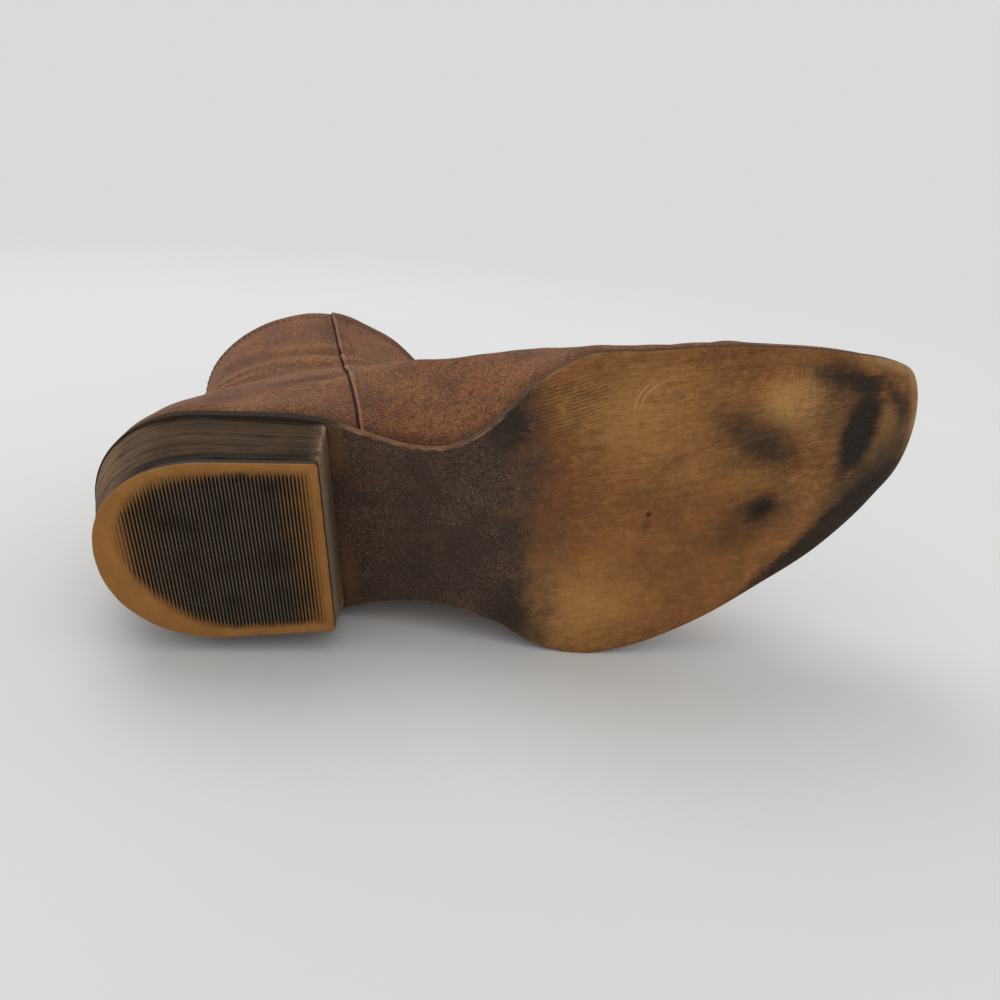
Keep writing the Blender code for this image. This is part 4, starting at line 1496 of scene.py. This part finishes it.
def grown(name, tree, points, edges, **inputs):
    """Plain mesh, in the boot's own frame, that a node tree makes from wires."""
    wire = bpy.data.meshes.new(name + "_wires")
    wire.from_pydata(np.asarray(points).tolist(), edges, [])
    holder = bpy.data.objects.new(name + "_wires", wire)
    bpy.context.scene.collection.objects.link(holder)
    modifier = holder.modifiers.new(name, "NODES")
    modifier.node_group = tree
    identifiers = {
        item.name: item.identifier for item in tree.interface.items_tree if item.in_out == "INPUT"
    }
    for label, value in inputs.items():
        modifier[identifiers[label.replace("_", " ")]] = value
    bpy.context.view_layer.update()
    graph = bpy.context.evaluated_depsgraph_get()
    mesh = bpy.data.meshes.new_from_object(holder.evaluated_get(graph))
    holder.modifiers.remove(modifier)
    bpy.data.objects.remove(holder)
    bpy.data.meshes.remove(wire)
    if not mesh.polygons:
        raise RuntimeError(f"{name}: the node tree made no faces")
    mesh.name = name
    return mesh


class BOOT_OT_top_lift(bpy.types.Operator):
    """Rubber lift with a smooth border, and the ribs across its field"""

    bl_idname = "boot.top_lift"
    bl_label = "Top lift"

    def execute(self, context):
        settings = context.scene.boot_heel
        depth = settings.rib_depth / MM
        outline = lift_loop()
        material = lift_material(settings)

        def tread(flat):
            return FIELD_SINK * depth * soft_step(field_depth(flat), *FIELD_BANK)

        shell = Shell()
        rag = uneven(outline, LIFT_WAVES)
        rings = []
        for distance, rise in LIFT_RINGS:
            loop = inset(outline, distance + rag * (rise < 1.0))
            rings.append(shell.ring(np.column_stack([loop, np.full(len(loop), rise)])))
        shell.sides(rings)
        shell.ladder(rings[0], HEEL_COLUMNS, tread, breast=True)
        shell.cap(rings[-1])
        points = shell.array()
        mesh = plain_mesh("top_lift_skin", points, shell.faces)
        on_side = np.where(edge_distance(points[:, :2], outline) < SIDE_REACH, points[:, 2], 0.0)
        obj = lay("top_lift_skin", mesh, material, field=field_depth(points[:, :2]), side=on_side)
        fit(obj, "lift_rubber", "top_lift")
        pitch = settings.rib_pitch / MM
        first, last = FIELD_ROWS[0][0] + FIRST_RIB, FIELD_ROWS[-1][0]
        stations = np.arange(first, last, pitch)
        lateral, medial = field_sides(stations)
        spread = np.random.default_rng(RIB_SEED).uniform(*RIB_STRAY, (2, len(stations)))
        height = np.full(len(stations), RIB_MIDDLE * depth)
        starts = np.column_stack([stations, medial - spread[0], height])
        ends = np.column_stack([stations, lateral + spread[1], height])
        wires = np.stack([starts, ends], axis=1).reshape(-1, 3)
        edges = [(2 * i, 2 * i + 1) for i in range(len(stations))]
        ribs = grown(
            "lift_ribs", ribs_tree(), wires, edges,
            Half_width=settings.rib_width / MM / 2, Depth=depth, Taper=RIB_TAPER, Material=material,
        )
        flat = np.array([vertex.co[:2] for vertex in ribs.vertices])
        obj = lay("lift_ribs", ribs, material, SHARP_FINE, field=field_depth(flat), side=np.zeros(len(flat)))
        fit(obj, "lift_rubber")
        return {"FINISHED"}


def ring_sizes(level):
    """The columns of the upper's table at a level between two of its rows."""
    levels = np.arange(len(RING_ROWS), dtype=float)
    return {
        name: float(smooth(levels, column(RING_ROWS, RING_COLUMNS, name), level))
        for name in RING_COLUMNS
    }


def ring_height(size, x):
    """Height of a ring at x: parallel to the sole low down, and a straight topline in the shaft."""
    share = (x - size["back"]) / (size["front"] - size["back"])
    along = size["back_z"] + (size["front_z"] - size["back_z"]) * share
    wave = COLLAR_SCALLOP * size["scallop"] * np.sin(math.pi * np.clip(share, 0, 1)) ** 2
    return (1 - size["oval"]) * (sole_top(x) + size["rise"]) + size["oval"] * along + wave


def seam_of(size):
    """Where the side seam crosses a ring."""
    x = SEAM_FOOT
    for _ in range(4):
        x = SEAM_FOOT - SEAM_LEAN * (float(ring_height(size, np.float64(x))) - SEAM_FOOT_HEIGHT)
    return x


def ring_edges(size, seam, x):
    """Lateral and medial sides of a ring at x: the sole's shape low down and an oval in the shaft."""
    share = (x - size["back"]) / (size["front"] - size["back"])
    round_off = np.sqrt(np.clip(1 - (2 * share - 1) ** 2, 0, 1))
    _, sole_half = sole_edges(HEEL_BACK + share * (TOE_TIP - HEEL_BACK))
    waist = size["bulge"] * np.exp(-(((x - WAIST) / WAIST_REACH) ** 2))
    lap = np.where(x > seam, SEAM_STEP * np.exp(-np.clip(x - seam, 0, None) / SEAM_FADE), 0.0)
    half = (1 - size["oval"]) * sole_half * size["fill"] + size["oval"] * size["half"] * round_off
    centre = sole_edges(x)[0] + size["slack"]
    lateral = centre + half + (waist * WAIST_LATERAL + lap) * round_off
    medial = centre - half - (waist + lap) * round_off
    return lateral, medial


def upper_ring(level):
    """A closed ring of the upper's outside, and how far each of its points is in front of the seam."""
    size = ring_sizes(level)
    seam = seam_of(size)
    behind = size["back"] + (seam - SEAM_HALF - size["back"]) * (1 - np.cos(math.pi / 2 * FINE))
    ahead = seam + SEAM_HALF + (size["front"] - seam - SEAM_HALF) * np.sin(math.pi / 2 * FINE)
    x = np.concatenate(
        [
            spaced(behind, ring_edges(size, seam, behind)[0], BACK_STATIONS, "first"),
            spaced(ahead, ring_edges(size, seam, ahead)[0], FRONT_STATIONS, "last"),
        ]
    )
    lateral, medial = ring_edges(size, seam, x)
    loop = loop_of(x, (lateral + medial) / 2, (lateral - medial) / 2)
    return np.column_stack([loop, ring_height(size, loop[:, 0])]), loop[:, 0] - seam


def grid_normals(grid):
    """Outward normals of rings of points."""
    around = np.roll(grid, -1, axis=1) - np.roll(grid, 1, axis=1)
    upward = np.gradient(grid, axis=0)
    normals = np.cross(upward, around)
    normals /= np.maximum(np.linalg.norm(normals, axis=2, keepdims=True), 1e-9)
    outward = grid - grid.mean(axis=1, keepdims=True)
    if (normals * outward).sum() < 0:
        normals = -normals
    return normals


def creased(points):
    """Depth of the listed creases at points: troughs below 0 and soft ridges beside them."""
    depth = np.zeros(len(points))
    wander = uneven(points, CREASE_WAVES)
    for x, z, turn, reach, width, drop, side in CREASES:
        angle = math.radians(turn)
        off_x, off_z = points[:, 0] - x, points[:, 2] - z
        across = off_x * math.cos(angle) + off_z * math.sin(angle) + wander
        along = -off_x * math.sin(angle) + off_z * math.cos(angle)
        fade = np.exp(-((along / reach) ** 2))
        if side:
            fade = fade * soft_step(side * points[:, 1], -4.0, 10.0)
        trough = np.exp(-((across / width) ** 2))
        ridges = np.exp(-(((np.abs(across) - RIDGE_PLACE * width) / (RIDGE_WIDTH * width)) ** 2))
        depth += drop * fade * (RIDGE_HEIGHT * ridges - trough)
    return depth


def upper_grid(levels):
    """Rings of the upper before and after its creases, with the seam distance and crease depth."""
    rings, seams = zip(*(upper_ring(level) for level in levels))
    base, seams = np.array(rings), np.array(seams)
    flat = base.reshape(-1, 3)
    clear = soft_step(flat[:, 2] - sole_top(flat[:, 0]), *CREASE_START)
    folds = creased(flat) * clear
    waves = uneven(flat, UPPER_WAVES) * clear
    normals = grid_normals(base)
    moved = base + normals * (folds + waves).reshape(base.shape[:2])[:, :, None]
    return base, moved, seams, folds.reshape(base.shape[:2])


def wall_of(grid, outer, thickness, rim_steps=5):
    """A closed wall from rings of points: outside, rounded collar rim, inside and foot."""
    normals = grid_normals(grid)
    outside = grid - normals * outer
    inside = grid - normals * (outer + thickness)
    up = outside[-1] - outside[-2]
    up /= np.linalg.norm(up, axis=1, keepdims=True)
    middle, half = (outside[-1] + inside[-1]) / 2, thickness / 2
    turns = np.linspace(0, math.pi, rim_steps + 2)[1:-1]
    rim = [middle + half * (math.cos(t) * normals[-1] + math.sin(t) * up) for t in turns]
    rows = [*outside, *rim, *inside[::-1]]
    count = grid.shape[1]
    faces = []
    for i in range(len(rows)):
        near, far = i * count, (i + 1) % len(rows) * count
        for j in range(count):
            k = (j + 1) % count
            faces.append((near + j, near + k, far + k, far + j))
    return np.vstack(rows), faces, len(rim)


def under_lap(grid, seams, levels):
    """Rings without the seam's step, so that a lining lies flat under it; the collar keeps its own."""
    back, front = grid[:, :, 0].min(axis=1)[:, None], grid[:, :, 0].max(axis=1)[:, None]
    share = (grid[:, :, 0] - back) / (front - back)
    step = SEAM_STEP * np.exp(-np.clip(seams, 0, None) / SEAM_FADE) * (seams > 0)
    step = step * 2 * np.sqrt(share * (1 - share)) * soft_step(levels, TOP_LEVEL, TOP_LEVEL - 0.8)[:, None]
    middle = sole_edges(grid[:, :, 0])[0]
    flat = grid.copy()
    flat[:, :, 1] -= np.sign(grid[:, :, 1] - middle) * step
    return flat


class BOOT_OT_upper(bpy.types.Operator):
    """Creased outer leather of the upper, and the lining inside it"""

    bl_idname = "boot.upper"
    bl_label = "Upper and lining"

    def execute(self, context):
        settings = context.scene.boot_upper
        wall, lining = settings.wall / MM, settings.lining / MM
        levels = np.linspace(0, TOP_LEVEL, settings.levels)
        _, grid, seams, folds = upper_grid(levels)
        points, faces, rim = wall_of(grid, 0.0, wall)
        mesh = plain_mesh("upper_skin", points, faces)

        def rows(values):
            """Values of the outside carried over the rim and down the inside."""
            return np.vstack([values, np.repeat(values[-1:], rim, axis=0), values[::-1]]).ravel()

        rise = points[:, 2] - sole_top(points[:, 0])
        rub = np.clip(folds / RUBBED_FOLD, 0, 1)
        values = {"seam": rows(seams), "rub": rows(rub), "rise": rise}
        obj = lay("upper_skin", mesh, upper_material(settings), SHARP_UPPER, **values)
        fit(obj, "upper_leather", "upper")
        inner = under_lap(grid, seams, levels)[::2]
        points, faces, _ = wall_of(inner, wall + LINING_GAP, lining, 3)
        mesh = plain_mesh("lining", points, faces)
        obj = lay("lining", mesh, lining_material(settings, "lining_leather", 1.0), SHARP_LINING)
        fit(obj, "insole_leather")
        return {"FINISHED"}


def on_upper(level, forward, side):
    """A point of the smooth upper at a level and at a distance in front of its side seam."""
    size = ring_sizes(level)
    seam = seam_of(size)
    x = np.float64(seam + forward)
    lateral, medial = ring_edges(size, seam, x)
    return x, (lateral if side > 0 else medial), ring_height(size, x)


class BOOT_OT_stitching(bpy.types.Operator):
    """Stitch rows in front of the side seams and below the collar"""

    bl_idname = "boot.stitching"
    bl_label = "Stitching"

    def execute(self, context):
        settings = context.scene.boot_upper
        base, grid, _, _ = upper_grid(np.linspace(0, TOP_LEVEL, settings.levels))
        normals = grid_normals(grid).reshape(-1, 3)
        flat, moved = base.reshape(-1, 3), grid.reshape(-1, 3)
        rows = []
        for side in (1, -1):
            for forward in SEAM_ROWS:
                rows.append([on_upper(level, forward, side) for level in SEAM_ROW_LEVELS])
        for level in COLLAR_ROWS:
            loop, _ = upper_ring(level)
            rows.append([*loop, loop[0]])
        points, edges = [], []
        for row in rows:
            row = np.array(row)
            first = len(points)
            for spot in row:
                nearest = int(((flat - spot) ** 2).sum(axis=1).argmin())
                points.append(spot + moved[nearest] - flat[nearest] + normals[nearest] * THREAD_PROUD)
            edges += [(i, i + 1) for i in range(first, len(points) - 1)]
        material = thread_material(settings)
        mesh = grown(
            "stitches", stitch_tree(), points, edges, Pitch=settings.stitch_pitch / MM,
            Half_length=settings.stitch / MM / 2, Half_width=settings.thread_width / MM / 2,
            Seed=STITCH_SEED, Material=material,
        )
        fit(lay("stitches", mesh, material, SHARP_FINE), "upper_leather")
        return {"FINISHED"}


class BOOT_OT_insole(bpy.types.Operator):
    """Sock that lies on the sole inside the upper"""

    bl_idname = "boot.insole"
    bl_label = "Insole"

    def execute(self, context):
        settings = context.scene.boot_upper
        outline = sole_outline(SOCK_STATIONS)
        shell = Shell()
        rings = []
        for distance, share in SOCK_RINGS:
            loop = inset(outline, INSOLE_INSET + distance)
            height = sole_top(loop[:, 0]) + GAP + share * INSOLE_THICKNESS
            rings.append(shell.ring(np.column_stack([loop, height])))
        shell.sides(rings)

        def upside(flat):
            worn = np.minimum(uneven(flat, SOCK_WAVES), 0.1)
            return sole_top(flat[:, 0]) + GAP + INSOLE_THICKNESS + worn

        shell.ladder(rings[0], HIDDEN_COLUMNS, lambda flat: sole_top(flat[:, 0]) + GAP)
        shell.ladder(rings[-1], SOCK_COLUMNS, upside)
        mesh = plain_mesh("insole_sock", shell.array(), shell.faces)
        obj = lay("insole_sock", mesh, lining_material(settings, "sock_leather", 0.9))
        fit(obj, "insole_leather", "insole")
        return {"FINISHED"}


class BOOT_OT_stage(bpy.types.Operator):
    """Pale floor, soft light and the camera"""

    bl_idname = "boot.stage"
    bl_label = "Stage"

    def execute(self, context):
        settings = context.scene.boot_stage
        scene = context.scene
        scene.view_settings.view_transform = "Standard"
        self.floor(settings)
        world = bpy.data.worlds.new("soft_surroundings")
        world.use_nodes = True
        world.node_tree.nodes["Background"].inputs[0].default_value = solid(settings.sky)
        scene.world = world
        self.light(settings)
        self.camera(scene)
        return {"FINISHED"}

    def floor(self, settings):
        turns = 2 * math.pi * np.arange(FLOOR_STEPS) / FLOOR_STEPS
        shell = Shell()
        middle, = shell.ring([(0.0, 0.0, 0.0)])
        circle = np.column_stack([np.cos(turns), np.sin(turns), np.zeros(FLOOR_STEPS)])
        rings = [shell.ring(radius * circle) for radius in FLOOR_RADII]
        first = rings[0]
        shell.faces += [(middle, near, far) for near, far in zip(first, first[1:] + first[:1])]
        shell.sides(rings[::-1])
        mesh = bpy.data.meshes.new("floor")
        mesh.from_pydata(shell.points, [], shell.faces)
        finish = Finish("pale_floor")
        place = finish.node("ShaderNodeTexCoord").outputs["Object"]
        cloud = finish.step(finish.noise(place, 6.0, 3.0, 0.5), 0.3, 0.7)
        finish.surface(finish.mix(cloud, *shades(settings.floor, 0.985, 1.0)), 0.75, 0.2)
        # Far from the boot the floor takes the colour of the surroundings, so that no horizon shows
        glow = finish.node("ShaderNodeEmission", {"Color": solid(settings.sky)}).outputs[0]
        share = finish.step(finish.length(place), *FLOOR_FADE)
        faded = finish.node("ShaderNodeMixShader", {0: share, 1: finish.shader.outputs[0], 2: glow})
        finish.put(finish.tree.nodes["Material Output"].inputs["Surface"], faded.outputs[0])
        mesh.materials.append(finish.material)
        floor = bpy.data.objects.new("floor", mesh)
        bpy.context.scene.collection.objects.link(floor)

    def light(self, settings):
        lamp = bpy.data.lights.new("key", "AREA")
        lamp.shape = "DISK"
        lamp.size = KEY_SIZE
        lamp.energy = settings.key
        obj = bpy.data.objects.new("key", lamp)
        obj.location = KEY_PLACE
        aim = Vector(KEY_AIM) - Vector(KEY_PLACE)
        obj.rotation_euler = aim.to_track_quat("-Z", "Y").to_euler()
        bpy.context.scene.collection.objects.link(obj)

    def camera(self, scene):
        turn = PLACEMENT.to_3x3().normalized()
        right = (turn @ Vector(CAMERA_RIGHT)).normalized()
        axis = (turn @ Vector(CAMERA_AXIS)).normalized()
        axis = Matrix.Rotation(-math.radians(CAMERA_DIP), 3, right) @ axis
        up = right.cross(axis)
        swing = Matrix.Rotation(-math.radians(CAMERA_SWING), 3, up)
        right, axis = swing @ right, swing @ axis
        view = Matrix((right, up, -axis)).transposed().to_4x4()
        view.translation = PLACEMENT @ Vector(CAMERA_PLACE)
        data = bpy.data.cameras.new("view")
        data.lens = LENS
        data.sensor_width = SENSOR
        data.dof.use_dof = False
        data.clip_start = 0.01
        data.clip_end = 100.0
        camera = bpy.data.objects.new("view", data)
        camera.matrix_world = view
        scene.collection.objects.link(camera)
        scene.camera = camera


PIECES = ("outsole", "heel_stack", "top_lift", "upper", "stitching", "insole")


class BOOT_PT_dressing(bpy.types.Panel):
    """Lists the boot's pieces and their settings"""

    bl_idname = "BOOT_PT_dressing"
    bl_label = "Western ankle boot"
    bl_space_type = "VIEW_3D"
    bl_region_type = "UI"
    bl_category = "Boot"

    def draw(self, context):
        for name in (*PIECES, "stage"):
            self.layout.operator(f"boot.{name}")
        for group in ("boot_sole", "boot_heel", "boot_upper", "boot_stage"):
            settings = getattr(context.scene, group)
            box = self.layout.box()
            for label in settings.__annotations__:
                box.prop(settings, label)


SETTINGS = {
    "boot_sole": SoleSettings,
    "boot_heel": HeelSettings,
    "boot_upper": UpperSettings,
    "boot_stage": StageSettings,
}
CLASSES = (
    *SETTINGS.values(),
    BOOT_OT_outsole,
    BOOT_OT_heel_stack,
    BOOT_OT_top_lift,
    BOOT_OT_upper,
    BOOT_OT_stitching,
    BOOT_OT_insole,
    BOOT_OT_stage,
    BOOT_PT_dressing,
)


def register():
    for each in CLASSES:
        bpy.utils.register_class(each)
    for name, group in SETTINGS.items():
        setattr(bpy.types.Scene, name, bpy.props.PointerProperty(type=group))


def unregister():
    for name in SETTINGS:
        delattr(bpy.types.Scene, name)
    for each in reversed(CLASSES):
        bpy.utils.unregister_class(each)


def main():
    register()
    for name in (*PIECES, "stage"):
        getattr(bpy.ops.boot, name)()


if __name__ == "__main__":
    main()
